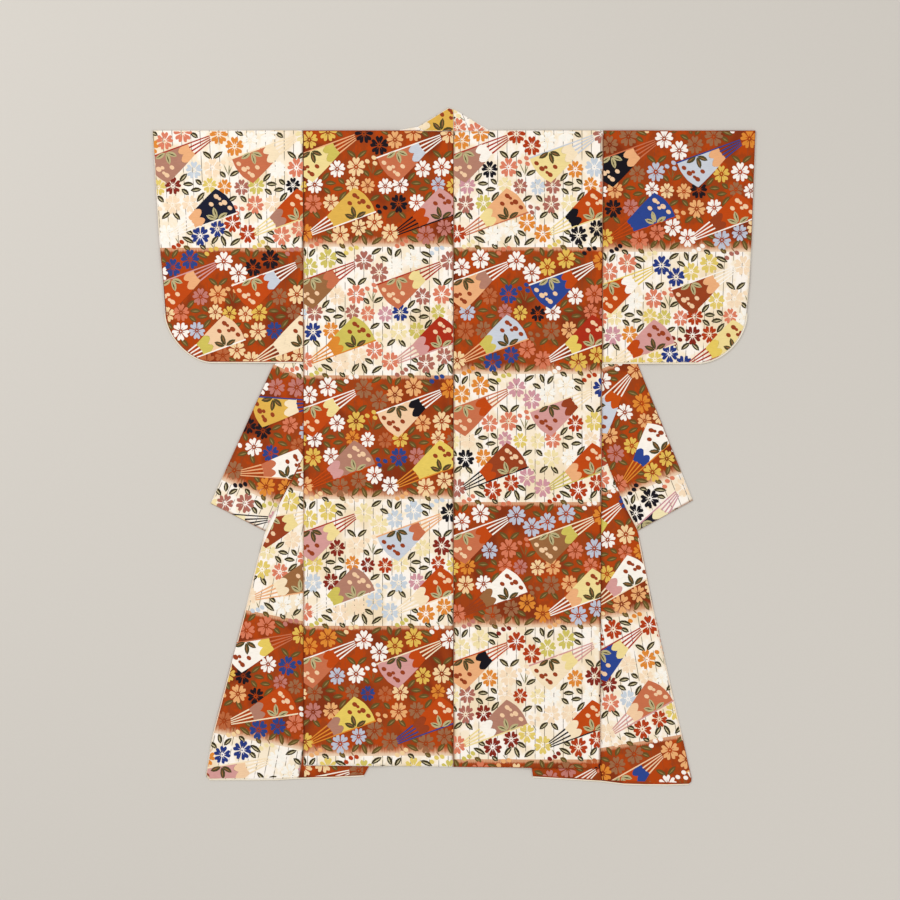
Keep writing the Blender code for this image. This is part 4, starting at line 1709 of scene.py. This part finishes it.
@dataclass
class BodyCloth(Panel):
    """One length of cloth: the back, over the shoulder, and the front folded back outwards."""

    folded: Loom | None = None
    width_cuts: int = 9
    back_row_cuts: int = 7
    front_row_cuts: int = 3

    def columns_at(self, drop: float) -> list[Place]:
        """The coarse columns of the back from the side seam to the centre seam: reach, height."""
        outer = self.half.side_reach(drop)
        fold = self.half.fold_reach(drop)
        columns = [
            (mix(outer, fold, step / BODY_WIDTH_CELLS), LEVEL_2) for step in range(BODY_WIDTH_CELLS + 1)
        ]
        for step in range(FALL_CELLS + 1):
            share = step / FALL_CELLS
            reach = fold - mix(FALL_START, FALL_END, share)
            columns.append((reach, mix(LEVEL_2, LEVEL_0, ease(share))))
        foot = columns[-1][0]
        columns.append(((foot + SEAM_GAP / 2) / 2, LEVEL_0))
        columns.append((SEAM_GAP / 2, LEVEL_0))
        return columns

    def back_point(self, column: int, row: int) -> Spot:
        """A coarse point of the back."""
        share = row / BODY_ROWS
        reach, height = self.columns_at(share * BACK_HEM_DROP)[column]
        return Spot(reach, share * self.half.back_hem_drop(reach), height)

    def back_finish(self, spot: Spot) -> Spot:
        """Gives the back its soft fall, its creases and its swelling between the seams."""
        reach, drop, _ = spot
        side = self.half.side_reach(drop) - reach
        hem = self.half.back_hem_drop(reach) - drop
        rise = self.relief.rise(reach, drop, min(side, reach), min(drop, hem, side))
        return Spot(reach, drop, self.half.back_height(reach, drop) + rise)

    def shoulder_point(self, column: int, row: int) -> Spot:
        """A coarse point of the roll over the shoulder."""
        angle = math.pi * row / FOLD_STEPS
        reach, _ = self.columns_at(0.0)[column]
        middle = (LEVEL_1 + LEVEL_2) / 2
        return Spot(reach, -FOLD_RADIUS * math.sin(angle), middle + FOLD_RADIUS * math.cos(angle))

    def front_point(self, column: int, row: int) -> Spot:
        """A coarse point of the front where it lies under the back."""
        share = row / BODY_ROWS
        reach, _ = self.columns_at(share * BACK_HEM_DROP)[column]
        hem = self.half.back_hem_drop(reach) - FRONT_HEM_SHORTER
        return Spot(reach, share * hem, LEVEL_1)

    def return_hem_reach(self, step: int) -> float:
        """The reach at the hem of a column of the folded front, counted out from the fold."""
        half = self.half
        first = half.front_hem[2][0] if half.sign < 0 else half.front_hem[1][0]
        return mix(first, half.okumi_seam_at_hem, (step - 1) / (RETURN_CELLS - 1))

    def return_hem_drop(self, step: int) -> float:
        """The drop at the hem of a column of the folded front."""
        return read_table(self.half.front_hem, self.return_hem_reach(step))

    def return_reach(self, step: int, drop: float) -> float:
        """The reach of a column of the folded front at this drop."""
        half = self.half
        fold = half.fold_reach(min(drop, BACK_HEM_DROP))
        edge = half.front_edge_reach(drop) - SEAM_GAP / 2
        width = half.okumi_seam_at_hem - half.fold_at_hem
        return mix(fold, edge, (self.return_hem_reach(step) - half.fold_at_hem) / width)

    def return_point(self, column: int, row: int) -> Spot:
        """A coarse point of the front where it is folded back outwards."""
        share = (row + FIRST_RETURN_ROW) / BODY_ROWS
        straight = share * BACK_HEM_DROP
        fold = self.half.fold_reach(straight)
        if column <= FOLD_STEPS:
            angle = math.pi * column / FOLD_STEPS
            short_hem = self.half.back_hem_drop(fold) - FRONT_HEM_SHORTER
            middle = (LEVEL_0 + LEVEL_1) / 2
            return Spot(
                fold - FOLD_RADIUS * math.sin(angle),
                share * short_hem,
                middle + FOLD_RADIUS * math.cos(angle),
            )
        step = column - FOLD_STEPS
        longer = self.return_hem_drop(step) - BACK_HEM_DROP
        drop = straight + longer * ease((share - 0.68) / 0.32)
        return Spot(self.return_reach(step, drop), drop, LEVEL_0)

    def weave_front(self, spot: Spot) -> ClothPlace:
        """The cloth attribute on the front, which runs on from the shoulder."""
        across, _, _ = self.weave_at(Spot(spot.reach, 0.0, 0.0))
        return across, -spot.drop, self.loom.block(-spot.drop)

    def weave_return(self, spot: Spot) -> ClothPlace:
        """The cloth attribute on the folded front."""
        return self.folded.cloth_at(self.half.place(spot))

    def build(self) -> None:
        """Builds the cloth and its floats."""
        half = self.half
        shell = Shell(half)
        widths = [self.width_cuts] * BODY_WIDTH_CELLS
        falls = [1] + [2] * FALL_CELLS + [4, 4]
        shell.add_grid(
            stops(widths + falls),
            stops([self.back_row_cuts] * BODY_ROWS),
            self.back_point,
            self.back_finish,
            self.weave_at,
            lambda spot: min(half.side_reach(spot.drop) - spot.reach, spot.reach),
        )
        shell.add_grid(
            stops(widths), stops([1] * FOLD_STEPS), self.shoulder_point, keep, self.weave_front
        )
        shell.add_grid(
            stops(widths),
            stops([self.front_row_cuts] * BODY_ROWS),
            self.front_point,
            keep,
            self.weave_front,
        )
        shell.add_grid(
            stops([1] * FOLD_STEPS + [3] * RETURN_CELLS),
            stops([self.front_row_cuts] * (BODY_ROWS - FIRST_RETURN_ROW)),
            self.return_point,
            keep,
            self.weave_return,
        )
        surface = shell.close(lambda middle: not LEVEL_1 - 0.0004 < middle.z < LEVEL_1 + 0.0004)
        cloth = self.make_cloth(shell, "back", "body", self.finishes.lining)
        hem = BACK_HEM_DROP
        outline = [
            (0.0009, FOLD_CLEAR),
            (half.side_at_shoulder - EDGE_CLEAR, FOLD_CLEAR),
            (half.side_reach(hem) - EDGE_CLEAR, half.back_hem_drop(half.side_reach(hem)) - EDGE_CLEAR),
            (0.0009, half.back_hem_drop(0.0) - EDGE_CLEAR),
        ]
        floats = self.add_floats(
            "back_floats", surface, Faces.UP, [outline], range(-1, 8), range(-1, 3)
        )
        first, last = self.return_hem_reach(1) + 0.002, half.side_at_hem - 0.002
        strip = [(reach, half.back_hem_drop(reach) + 0.001) for reach in (first, last)]
        strip += [
            (reach, read_table(half.front_hem, reach) - 0.0022)
            for reach in (last, mix(first, last, 0.35), first)
        ]
        hem_floats = self.add_floats(
            "return_floats", surface, Faces.UP, [strip], range(0, 4), range(-2, 3), self.folded
        )
        front_floats = self.add_floats(
            "front_floats", surface, Faces.DOWN, [self.bare_front()], range(-3, 2), range(-1, 3)
        )

    def bare_front(self) -> list[Place]:
        """The part of the front that neither the collar nor the sleeve covers from below."""
        neck_drop, neck_reach, _, _ = self.half.collar_neck[0]
        end_drop, end_reach = self.half.collar_end_outer
        slope = (end_reach - neck_reach) / (end_drop - neck_drop)
        top = 0.003
        near = neck_reach + top - slope * neck_drop
        side = self.half.side_at_shoulder - top
        return [(near + slope * top, top), (side, (side - near) / slope), (side, top)]


@dataclass
class SleeveCloth(Panel):
    """One length of cloth folded over the shoulder, with its lower outer corner rounded."""

    def rows(self) -> list[Place]:
        """The rows of a sleeve from its bottom to the shoulder: drop, reach of the outer edge."""
        rows = [self.half.corner_edge(1 - step / CORNER_ROWS) for step in range(CORNER_ROWS)]
        start_drop = self.half.sleeve_edge[-1][0]
        for step in range(SLEEVE_ROWS + 1):
            drop = start_drop * (1 - step / SLEEVE_ROWS)
            rows.append((drop, read_table(self.half.sleeve_edge, drop)))
        return rows

    def weave_layer(self, spot: Spot) -> ClothPlace:
        """The cloth attribute, which runs on over the shoulder to the lower layer."""
        if spot.height >= LEVEL_0 + self.half.sleeve_lift(spot.reach) + FOLD_RADIUS:
            return self.weave_at(spot)
        across, _, _ = self.weave_at(spot)
        return across, -spot.drop, self.loom.block(-spot.drop)

    def raise_upper(self, spot: Spot) -> Spot:
        """Gives the upper layer its creases and its swelling between the seams."""
        half = self.half
        level = spot.height - half.sleeve_lift(spot.reach)
        if level < LEVEL_1 - 1e-6:
            return spot
        inner = spot.reach - half.side_reach(max(spot.drop, 0.0))
        outer = read_table(half.sleeve_edge, spot.drop) - spot.reach
        bottom = half.sleeve_bottom() - spot.drop
        corner = self.from_corner(spot)
        edge = max(min(outer, bottom, spot.drop, corner), 0.0)
        rise = self.relief.rise(spot.reach, spot.drop, min(inner, outer, bottom), edge)
        return Spot(spot.reach, spot.drop, spot.height + rise)

    def from_corner(self, spot: Spot) -> float:
        """Roughly how far a spot lies from the rounded corner."""
        half = self.half
        start_drop, start_reach = half.sleeve_edge[-1]
        out = max(spot.reach - (start_reach - half.corner_reach), 0.0) / half.corner_reach
        down = max(spot.drop - start_drop, 0.0) / half.corner_drop
        size = (out**half.corner_power + down**half.corner_power) ** (1 / half.corner_power)
        return (1 - size) * half.corner_drop if out > 0 and down > 0 else 1.0

    def build(self) -> None:
        """Builds the cloth and the floats of both its faces."""
        half = self.half
        rows = self.rows()
        count = len(rows) - 1
        top, foot = half.sleeve_slope

        def point(column: int, row: int) -> Spot:
            """A point of the sleeve, from the lower layer over the shoulder to the upper one."""
            if row <= count:
                drop, edge = rows[row]
                level = LEVEL_0
            elif row < count + FOLD_STEPS:
                angle = math.pi * (row - count) / FOLD_STEPS
                drop = -FOLD_RADIUS * math.sin(angle)
                edge = rows[-1][1]
                level = LEVEL_0 + FOLD_RADIUS * (1 - math.cos(angle))
            else:
                drop, edge = rows[2 * count + FOLD_STEPS - row]
                level = LEVEL_1
            inner = half.side_reach(max(drop, 0.0)) + SEAM_GAP
            fixed = (inner, (inner + top) / 2, top, mix(top, foot, 0.5), foot)
            if column < len(fixed):
                reach = fixed[column]
            else:
                reach = mix(foot, edge, (column - len(fixed) + 1) / SLEEVE_CELLS)
            return Spot(reach, drop, level + half.sleeve_lift(reach))

        shell = Shell(half)
        shell.add_grid(
            stops([5, 5, 3, 3] + [6] * SLEEVE_CELLS),
            stops([1] * (2 * count + FOLD_STEPS)),
            point,
            self.raise_upper,
            self.weave_layer,
            lambda spot: spot.reach - half.side_reach(max(spot.drop, 0.0)),
        )
        surface = shell.close(
            lambda middle: middle.z > LEVEL_0 + FOLD_RADIUS + half.sleeve_lift(self.spot_of(middle)[0])
        )
        cloth = self.make_cloth(shell, "sleeve_cloth", "sleeve", self.finishes.lining)
        bottom = half.sleeve_bottom() - EDGE_CLEAR
        outline = [(half.side_at_shoulder + EDGE_CLEAR, FOLD_CLEAR)]
        outline += [(reach - EDGE_CLEAR, max(drop, FOLD_CLEAR)) for drop, reach in half.sleeve_edge]
        for step in range(1, 11):
            drop, reach = half.corner_edge(step / 10)
            outline.append((reach - EDGE_CLEAR * (1 - step / 10), drop - EDGE_CLEAR * step / 10))
        outline.append((half.side_reach(bottom) + EDGE_CLEAR, bottom))
        floats = [
            self.add_floats("sleeve_floats_" + which, surface, faces, [outline], rows_of, range(-1, 3))
            for which, faces, rows_of in (
                ("upper", Faces.UP, range(-1, 4)), ("lower", Faces.DOWN, range(-4, 2))
            )
        ]


@dataclass
class CollarCloth(Panel):
    """Half of the collar: a doubled strip from the centre back to its square end on the okumi."""

    def rows(self) -> list[tuple[float, float, float, float]]:
        """The coarse rows: drop and reach outside, drop and reach inside."""
        half = self.half
        end_drop, end_reach = half.collar_end_outer
        seam_drop, _ = half.collar_seam[-1]
        neck_drop, neck_reach, neck_seam_drop, _ = half.collar_neck[0]
        inner_drops = [seam_drop]
        inner_drops += [BACK_HEM_DROP * row / BODY_ROWS for row in range(COLLAR_FIRST_STATION, 1, -1)]
        rows = []
        for inner_drop in inner_drops:
            share = (seam_drop - inner_drop) / (seam_drop - neck_seam_drop)
            inner = half.collar_seam_reach(inner_drop) + SEAM_GAP / 2
            rows.append(
                (mix(end_drop, neck_drop, share), mix(end_reach, neck_reach, share), inner_drop, inner)
            )
        return rows + list(half.collar_neck)

    def raise_free(self, spot: Spot) -> Spot:
        """Gives the collar its creases where no panel covers it."""
        half = self.half
        if spot.drop < 0:
            return spot
        free = min(spot.reach - half.side_reach(spot.drop), spot.drop - half.sleeve_bottom() - 0.006)
        end = self.end_distance(spot)
        inner = spot.reach - half.collar_seam_reach(spot.drop)
        edge = max(min(free, end), 0.0)
        rise = self.relief.rise(spot.reach, spot.drop, max(min(inner, end), 0.0), edge)
        return Spot(spot.reach, spot.drop, spot.height + rise)

    def end_distance(self, spot: Spot) -> float:
        """Distance from the square end of the collar."""
        end_drop, end_reach = self.half.collar_end_outer
        seam_drop, seam_reach = self.half.collar_seam[-1]
        run = Vector((seam_reach - end_reach, seam_drop - end_drop))
        away = Vector((spot.reach - end_reach, spot.drop - end_drop))
        return abs(run.x * away.y - run.y * away.x) / run.length

    def build(self) -> None:
        """Builds the strip and the floats of both its faces."""
        half = self.half
        rows = self.rows()

        def point(column: int, row: int) -> Spot:
            """A coarse point of the collar."""
            drop, reach, inner_drop, inner_reach = rows[row]
            share = column / COLLAR_CELLS
            return Spot(mix(inner_reach, reach, share), mix(inner_drop, drop, share), LEVEL_0)

        shell = Shell(half)
        straight = len(rows) - len(half.collar_neck)
        shell.add_grid(
            stops([4] * COLLAR_CELLS),
            stops([7] * straight + [4] * (len(half.collar_neck) - 1)),
            point,
            self.raise_free,
            self.weave_at,
            lambda spot: self.end_distance(spot) if spot.drop > half.sleeve_bottom() else 1.0,
        )
        surface = shell.close(lambda middle: True)
        cloth = self.make_cloth(shell, "collar_cloth", "collar", self.finishes.ground)
        end_drop, end_reach = half.collar_end_outer
        seam_drop, seam_reach = half.collar_seam[-1]
        neck_drop, neck_reach, _, _ = half.collar_neck[0]
        outline = [
            (neck_reach - 0.0008, neck_drop),
            (end_reach - EDGE_CLEAR, end_drop - 0.0004),
            (seam_reach + 0.0008, seam_drop - 0.0014),
            (half.collar_seam[0][1] + EDGE_CLEAR, half.collar_seam[0][0]),
            (half.collar_seam_reach(0.20) + EDGE_CLEAR, 0.20),
            (half.collar_seam_reach(0.0617) + EDGE_CLEAR, 0.0617),
        ]
        neck = [(0.0008, half.collar_neck[-1][0] + EDGE_CLEAR)]
        neck += [(row[1], row[0] + EDGE_CLEAR) for row in reversed(half.collar_neck[-4:-1])]
        neck += [(neck[-1][0] - 0.016, -EDGE_CLEAR), (0.0008, -EDGE_CLEAR)]
        floats = [
            self.add_floats(
                "collar_floats_" + which, surface, faces, [outline, neck], range(-3, 4), range(-2, 3)
            )
            for which, faces in (("upper", Faces.UP), ("lower", Faces.DOWN))
        ]


@dataclass
class OkumiCloth(Panel):
    """The overlap panel, which tapers to the tip at the collar."""

    def drops(self, hem: float) -> list[float]:
        """The coarse rows of the okumi down to this hem."""

        def station(row: int) -> float:
            """The drop of a row of the body."""
            return BACK_HEM_DROP * row / BODY_ROWS

        drops = [station(row) for row in range(OKUMI_FIRST_STATION, COLLAR_FIRST_STATION + 1)]
        drops.append(self.half.okumi_edge[0][0])
        drops.extend(station(row) for row in range(COLLAR_FIRST_STATION + 1, BODY_ROWS))
        drops.extend(hem - rise for rise in OKUMI_CORNER_RISES)
        return drops

    def point(self, column: int, row: int) -> Spot:
        """A coarse point of the okumi."""
        half = self.half
        share = column / OKUMI_CELLS
        corner_drop, corner_reach = half.okumi_edge[-1]
        hem = read_table(half.front_hem, mix(half.okumi_seam_at_hem, corner_reach, share))
        drop = self.drops(hem)[row]
        edge_drop = self.drops(corner_drop)[row]
        inner = half.okumi_seam_reach(drop) + SEAM_GAP / 2
        outer = half.okumi_edge_reach(edge_drop) - SEAM_GAP / 2
        return Spot(mix(inner, outer, share), drop, LEVEL_0)

    def raise_free(self, spot: Spot) -> Spot:
        """Gives the okumi its creases where no panel covers it."""
        half = self.half
        hem = read_table(half.front_hem, min(spot.reach, half.okumi_edge[-1][1])) - spot.drop
        free = spot.reach - max(half.side_reach(spot.drop), half.okumi_seam_reach(spot.drop))
        outer = half.okumi_edge_reach(spot.drop) - spot.reach
        edge = max(min(free, hem, outer), 0.0)
        rise = self.relief.rise(spot.reach, spot.drop, max(min(free, outer), 0.0), edge)
        return Spot(spot.reach, spot.drop, spot.height + rise)

    def build(self) -> None:
        """Builds the cloth and its floats."""
        half = self.half
        count = len(self.drops(0.0)) - 1
        shell = Shell(half)
        shell.add_grid(
            stops([5] * OKUMI_CELLS),
            stops([7] * (count - len(OKUMI_CORNER_RISES) + 1) + [2] * (len(OKUMI_CORNER_RISES) - 1)),
            self.point,
            self.raise_free,
            self.weave_at,
            lambda spot: spot.reach - half.okumi_seam_reach(spot.drop),
        )
        surface = shell.close(lambda middle: True)
        cloth = self.make_cloth(shell, "okumi_cloth", "okumi", self.finishes.lining)
        top_drop, top_reach = half.okumi_edge[0]
        tip = half.collar_seam_reach(OKUMI_TIP_DROP)
        hem_drop, _ = half.okumi_edge[-1]
        seam_foot = read_table(half.front_hem, half.okumi_seam_at_hem)
        foot_drop, foot_reach = half.okumi_edge[-4]
        corner_drop, corner_reach = half.okumi_edge[-3]
        outline = [
            (tip + EDGE_CLEAR, OKUMI_TIP_DROP + 0.010),
            (half.collar_seam_reach(0.60) - EDGE_CLEAR, 0.60),
            (top_reach - EDGE_CLEAR, top_drop + 0.001),
            (foot_reach - 0.0014, foot_drop),
            (corner_reach - 0.0014, corner_drop),
            (half.okumi_edge[-1][1] - 0.002, hem_drop - 0.0016),
            (half.okumi_seam_at_hem + EDGE_CLEAR, seam_foot - 0.0016),
        ]
        cuts = [mix(top_drop + 0.010, foot_drop, step / 28) for step in range(29)]
        trim = [[(half.okumi_edge_reach(drop) - inset, drop) for drop in cuts] for inset in TRIM_INSETS]
        floats = self.add_floats(
            "okumi_floats", surface, Faces.UP, [outline], range(-4, 5), range(-3, 3), trim=trim
        )


@dataclass
class LiningEdges:
    """The narrow edges of the lining, which show below the sleeve and below the front hem."""

    half: RobeHalf
    lining: Material
    body: BodyCloth
    okumi: OkumiCloth

    @staticmethod
    def offset(points: Sequence[Place]) -> list[tuple[Place, ...]]:
        """Moves an edge outwards.

        Args:
            points: Drop and reach of each point, with the cloth on the left hand.

        Returns:
            For each point the near and the far line of the lining, as drop and reach.
        """
        pairs = []
        last = len(points) - 1
        for index, (drop, reach) in enumerate(points):
            before = points[max(index - 1, 0)]
            after = points[min(index + 1, last)]
            run_drop, run_reach = after[0] - before[0], after[1] - before[1]
            length = math.hypot(run_drop, run_reach)
            out = (-run_reach / length, run_drop / length)
            pairs.append(
                tuple(
                    (drop + out[0] * far, reach + out[1] * far)
                    for far in (SEAM_GAP, SEAM_GAP + LINING_EDGE)
                )
            )
        return pairs

    def strip(
        self, kind: str, edge: Sequence[Place], height: Callable[[float], float], wall: float
    ) -> None:
        """Builds one edge as a thin rolled strip.

        Args:
            kind: What it edges, the sleeve or the hem.
            edge: Drop and reach of the cloth's edge.
            height: The middle height at a reach.
            wall: Thickness of the strip.
        """
        pairs = self.offset(edge)

        def point(column: int, row: int) -> Spot:
            """A point of the strip."""
            drop, reach = pairs[row][column]
            return Spot(reach, drop, height(reach))

        shell = Shell(self.half)
        shell.add_grid(
            stops([2]),
            stops([1] * (len(pairs) - 1)),
            point,
            keep,
            lambda spot: (spot.reach, spot.drop, 1.0),
        )
        shell.close(lambda middle: True)
        strip = shell.finish(f"{kind}_edge_{self.half.name}", self.lining, self.lining, wall)
        rounded = strip.modifiers.new("Rolled", "BEVEL")
        rounded.width = min(wall, LINING_EDGE) * 0.3
        rounded.segments = 2
        rounded.limit_method = "ANGLE"
        settle(strip, f"{kind}_lining_{self.half.name}")

    def build(self) -> None:
        """Builds both edges."""
        half = self.half
        bottom = half.sleeve_bottom()
        corner_start = half.corner_edge(1.0)[1]
        top, foot = half.sleeve_slope
        inner = half.side_reach(bottom) + SEAM_GAP
        edge = [half.corner_edge(step / CORNER_ROWS) for step in range(CORNER_ROWS + 1)]
        level = [mix(foot, top, step / 6) for step in range(7)] + [(top + inner) / 2, inner]
        edge += [(bottom, reach) for reach in level if reach < corner_start - 0.001]
        self.strip(
            "sleeve",
            edge,
            lambda reach: LEVEL_0 + FOLD_RADIUS + half.sleeve_lift(reach),
            SLEEVE_LINING_WALL,
        )
        last_row = len(self.okumi.drops(0.0)) - 1
        spots = [self.okumi.point(column, last_row) for column in range(OKUMI_CELLS, -1, -1)]
        hem = [(spot.drop, spot.reach) for spot in spots]
        for step in range(RETURN_CELLS, 0, -1):
            drop = self.body.return_hem_drop(step)
            hem.append((drop, self.body.return_reach(step, drop)))
        self.strip("hem", hem, lambda reach: LEVEL_0, WALL)


# How the repeat and the creases lie


def panel_loom(
    side: float,
    rivet: float,
    edges: tuple[float, ...],
    red_first: bool,
    straight_side: float = 0.0,
    narrowing: float = 0.0,
) -> Loom:
    """A loom that starts at the shoulder and this far from the centre seam, its rivet in chart units."""
    return Loom(
        x=CENTRE_SEAM_X + side,
        y=SHOULDER_Y,
        turn=0.0,
        rivet=rivet * CHART_UNIT,
        edges=edges,
        red_first=red_first,
        straight_side=straight_side,
        narrowing=narrowing,
    )


def pixel_loom(x: float, y: float, turn: float, red_first: bool) -> Loom:
    """A loom whose first rivet stands at this pixel of the photo."""
    return Loom(
        x=CENTRE_SEAM_X + (x - PHOTO_SEAM[0]) * CHART_UNIT,
        y=SHOULDER_Y - (y - PHOTO_SEAM[1]) * CHART_UNIT,
        turn=turn,
        rivet=0.0,
        edges=(-RIVET_BELOW_BLOCK * CHART_UNIT,),
        red_first=red_first,
    )


LOOMS = {
    "body_left": panel_loom(-0.3495, 51.1, (0.2691, 0.5685, 0.8563, 1.1510, 1.4539), True),
    "body_right": panel_loom(0.0, 53.4, (0.2703, 0.5650, 0.8633, 1.1545, 1.4621), False),
    "sleeve_left": panel_loom(-0.7005, 56.6, (0.2714,), False, 0.351, 0.203),
    "sleeve_right": panel_loom(0.3486, 51.5, (0.2808,), True, 0.0, 0.141),
    "collar_left": pixel_loom(319.3, 402.0, 24.0, red_first=False),
    "collar_right": pixel_loom(628.3, 375.1, -22.0, red_first=False),
    "okumi_left": pixel_loom(291.6, 634.9, 11.0, red_first=False),
    "okumi_right": pixel_loom(639.9, 628.9, -9.5, red_first=True),
    "return_left": pixel_loom(349.0, 771.0, 9.0, red_first=False),
    "return_right": pixel_loom(594.5, 768.5, -8.0, red_first=False),
}


def creased(*rows: tuple[float, ...], run: float = 0.030) -> Relief:
    """The relief of a panel with these creases, which fade out over this run."""
    return Relief(tuple(Crease(*row) for row in rows), run)


# Creases of each panel: reach, drop, turn, length, width, height
RELIEFS = {
    "body_left": creased(
        (0.300, 0.420, 3, 0.52, 0.062, 0.0022),
        (0.215, 0.250, -4, 0.34, 0.050, 0.0017),
        (0.120, 0.360, -6, 0.46, 0.070, 0.0024),
        (0.255, 0.800, 5, 0.44, 0.056, 0.0020),
        (0.160, 0.745, 84, 0.30, 0.030, 0.0014),
        (0.190, 1.130, -3, 0.50, 0.066, 0.0024),
        (0.290, 1.210, 4, 0.36, 0.048, 0.0018),
        (0.085, 1.010, -8, 0.38, 0.058, 0.0020),
        (0.070, 0.640, -5, 0.30, 0.044, 0.0015),
        (0.240, 1.330, 78, 0.22, 0.034, 0.0012),
    ),
    "body_right": creased(
        (0.285, 0.330, -4, 0.46, 0.058, 0.0020),
        (0.180, 0.480, 5, 0.54, 0.072, 0.0025),
        (0.100, 0.230, 8, 0.30, 0.046, 0.0016),
        (0.300, 0.790, 2, 0.40, 0.052, 0.0021),
        (0.200, 0.900, -88, 0.26, 0.032, 0.0013),
        (0.225, 1.150, 6, 0.48, 0.062, 0.0023),
        (0.120, 1.060, 9, 0.40, 0.056, 0.0019),
        (0.305, 1.290, -3, 0.28, 0.044, 0.0016),
        (0.060, 0.790, 6, 0.34, 0.048, 0.0017),
    ),
    "sleeve_left": creased(
        (0.600, 0.250, 4, 0.30, 0.060, 0.0020),
        (0.520, 0.340, -8, 0.26, 0.052, 0.0016),
        (0.430, 0.200, 5, 0.30, 0.048, 0.0018),
        (0.575, 0.430, 70, 0.16, 0.036, 0.0012),
    ),
    "sleeve_right": creased(
        (0.590, 0.220, -5, 0.28, 0.056, 0.0019),
        (0.640, 0.360, 3, 0.24, 0.046, 0.0015),
        (0.490, 0.300, 7, 0.34, 0.060, 0.0021),
        (0.420, 0.420, -74, 0.14, 0.034, 0.0012),
    ),
    "collar_left": creased(
        (0.440, 0.655, -62, 0.18, 0.030, 0.0013),
        (0.420, 0.735, -70, 0.14, 0.026, 0.0011),
        (0.480, 0.790, 28, 0.20, 0.040, 0.0014),
        run=0.018,
    ),
    "collar_right": creased(
        (0.450, 0.670, 24, 0.22, 0.040, 0.0013), (0.420, 0.760, -58, 0.14, 0.028, 0.0011), run=0.018
    ),
    "okumi_left": creased(
        (0.400, 1.120, 13, 0.34, 0.044, 0.0015),
        (0.480, 1.330, 12, 0.28, 0.046, 0.0016),
        (0.420, 1.410, -75, 0.14, 0.030, 0.0010),
        run=0.022,
    ),
    "okumi_right": creased(
        (0.395, 1.060, 11, 0.30, 0.040, 0.0014),
        (0.465, 1.300, 10, 0.34, 0.048, 0.0017),
        (0.400, 1.440, -80, 0.16, 0.030, 0.0010),
        run=0.022,
    ),
}


@dataclass
class Studio:
    """A plain pale floor, soft light and the camera above the robe."""

    lens: float = 85.0
    height: float = 4.95
    centre: Place = (-0.0093, -0.0075)
    floor_size: float = 24.0
    floor_drop: float = 0.0009

    def build(self) -> None:
        """Builds the floor, the lights and the camera."""
        scene = bpy.context.scene
        bm = bmesh.new()
        bmesh.ops.create_grid(bm, x_segments=1, y_segments=1, size=self.floor_size / 2)
        bmesh.ops.translate(bm, verts=bm.verts, vec=(0.0, 0.0, -self.floor_drop))
        new_object("floor", bm, StudioPaper().make())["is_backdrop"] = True

        world = bpy.data.worlds.new("studio")
        world.use_nodes = True
        world.node_tree.nodes["Background"].inputs[0].default_value = linear("#F4F1EC")
        world.node_tree.nodes["Background"].inputs[1].default_value = 0.74
        scene.world = world
        self.add_light("key", (-2.6, 1.9, 3.4), 2.4, 70.0)
        self.add_light("fill", (3.0, -2.0, 3.6), 3.2, 48.0)

        lens = bpy.data.cameras.new("camera")
        lens.lens = self.lens
        lens.sensor_width = 36.0
        lens.clip_end = 100.0
        camera = bpy.data.objects.new("camera", lens)
        camera.location = (*self.centre, self.height)
        scene.collection.objects.link(camera)
        scene.camera = camera
        scene.view_settings.view_transform = "Standard"

    @staticmethod
    def add_light(name: str, place: tuple[float, float, float], size: float, power: float) -> None:
        """Adds a soft square light that looks at the robe."""
        light = bpy.data.lights.new(name, "AREA")
        light.shape = "SQUARE"
        light.size = size
        light.energy = power
        lamp = bpy.data.objects.new(name, light)
        lamp.location = place
        lamp.rotation_euler = (-Vector(place)).to_track_quat("-Z", "Y").to_euler()
        bpy.context.scene.collection.objects.link(lamp)


def main() -> None:
    """Builds the robe and the studio and reports each piece."""
    logging.basicConfig(level=logging.INFO, format="%(name)s %(message)s")
    for name in ("Cube", "Light", "Camera"):
        if name in bpy.data.objects:
            bpy.data.objects.remove(bpy.data.objects[name], do_unlink=True)
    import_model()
    solid_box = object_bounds()
    finishes = Finishes(
        ground=BrocadeGround().make(), lining=LiningSilk().make(), silk=SilkFloats().make()
    )
    prototypes = Prototypes()
    for half in (LEFT, RIGHT):
        made = {}
        for part, kind in (
            ("body", BodyCloth), ("sleeve", SleeveCloth), ("collar", CollarCloth), ("okumi", OkumiCloth)
        ):
            key = f"{part}_{half.name}"
            made[part] = kind(half, finishes, prototypes, LOOMS[key], RELIEFS[key])
        made["body"].folded = LOOMS["return_" + half.name]
        LiningEdges(half, finishes.lining, made["body"], made["okumi"]).build()
        for panel in made.values():
            panel.build()
    Studio().build()
    dressed_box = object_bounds()
    [[list(corner) for corner in box] for box in (solid_box, dressed_box)]


if __name__ == "__main__":
    main()
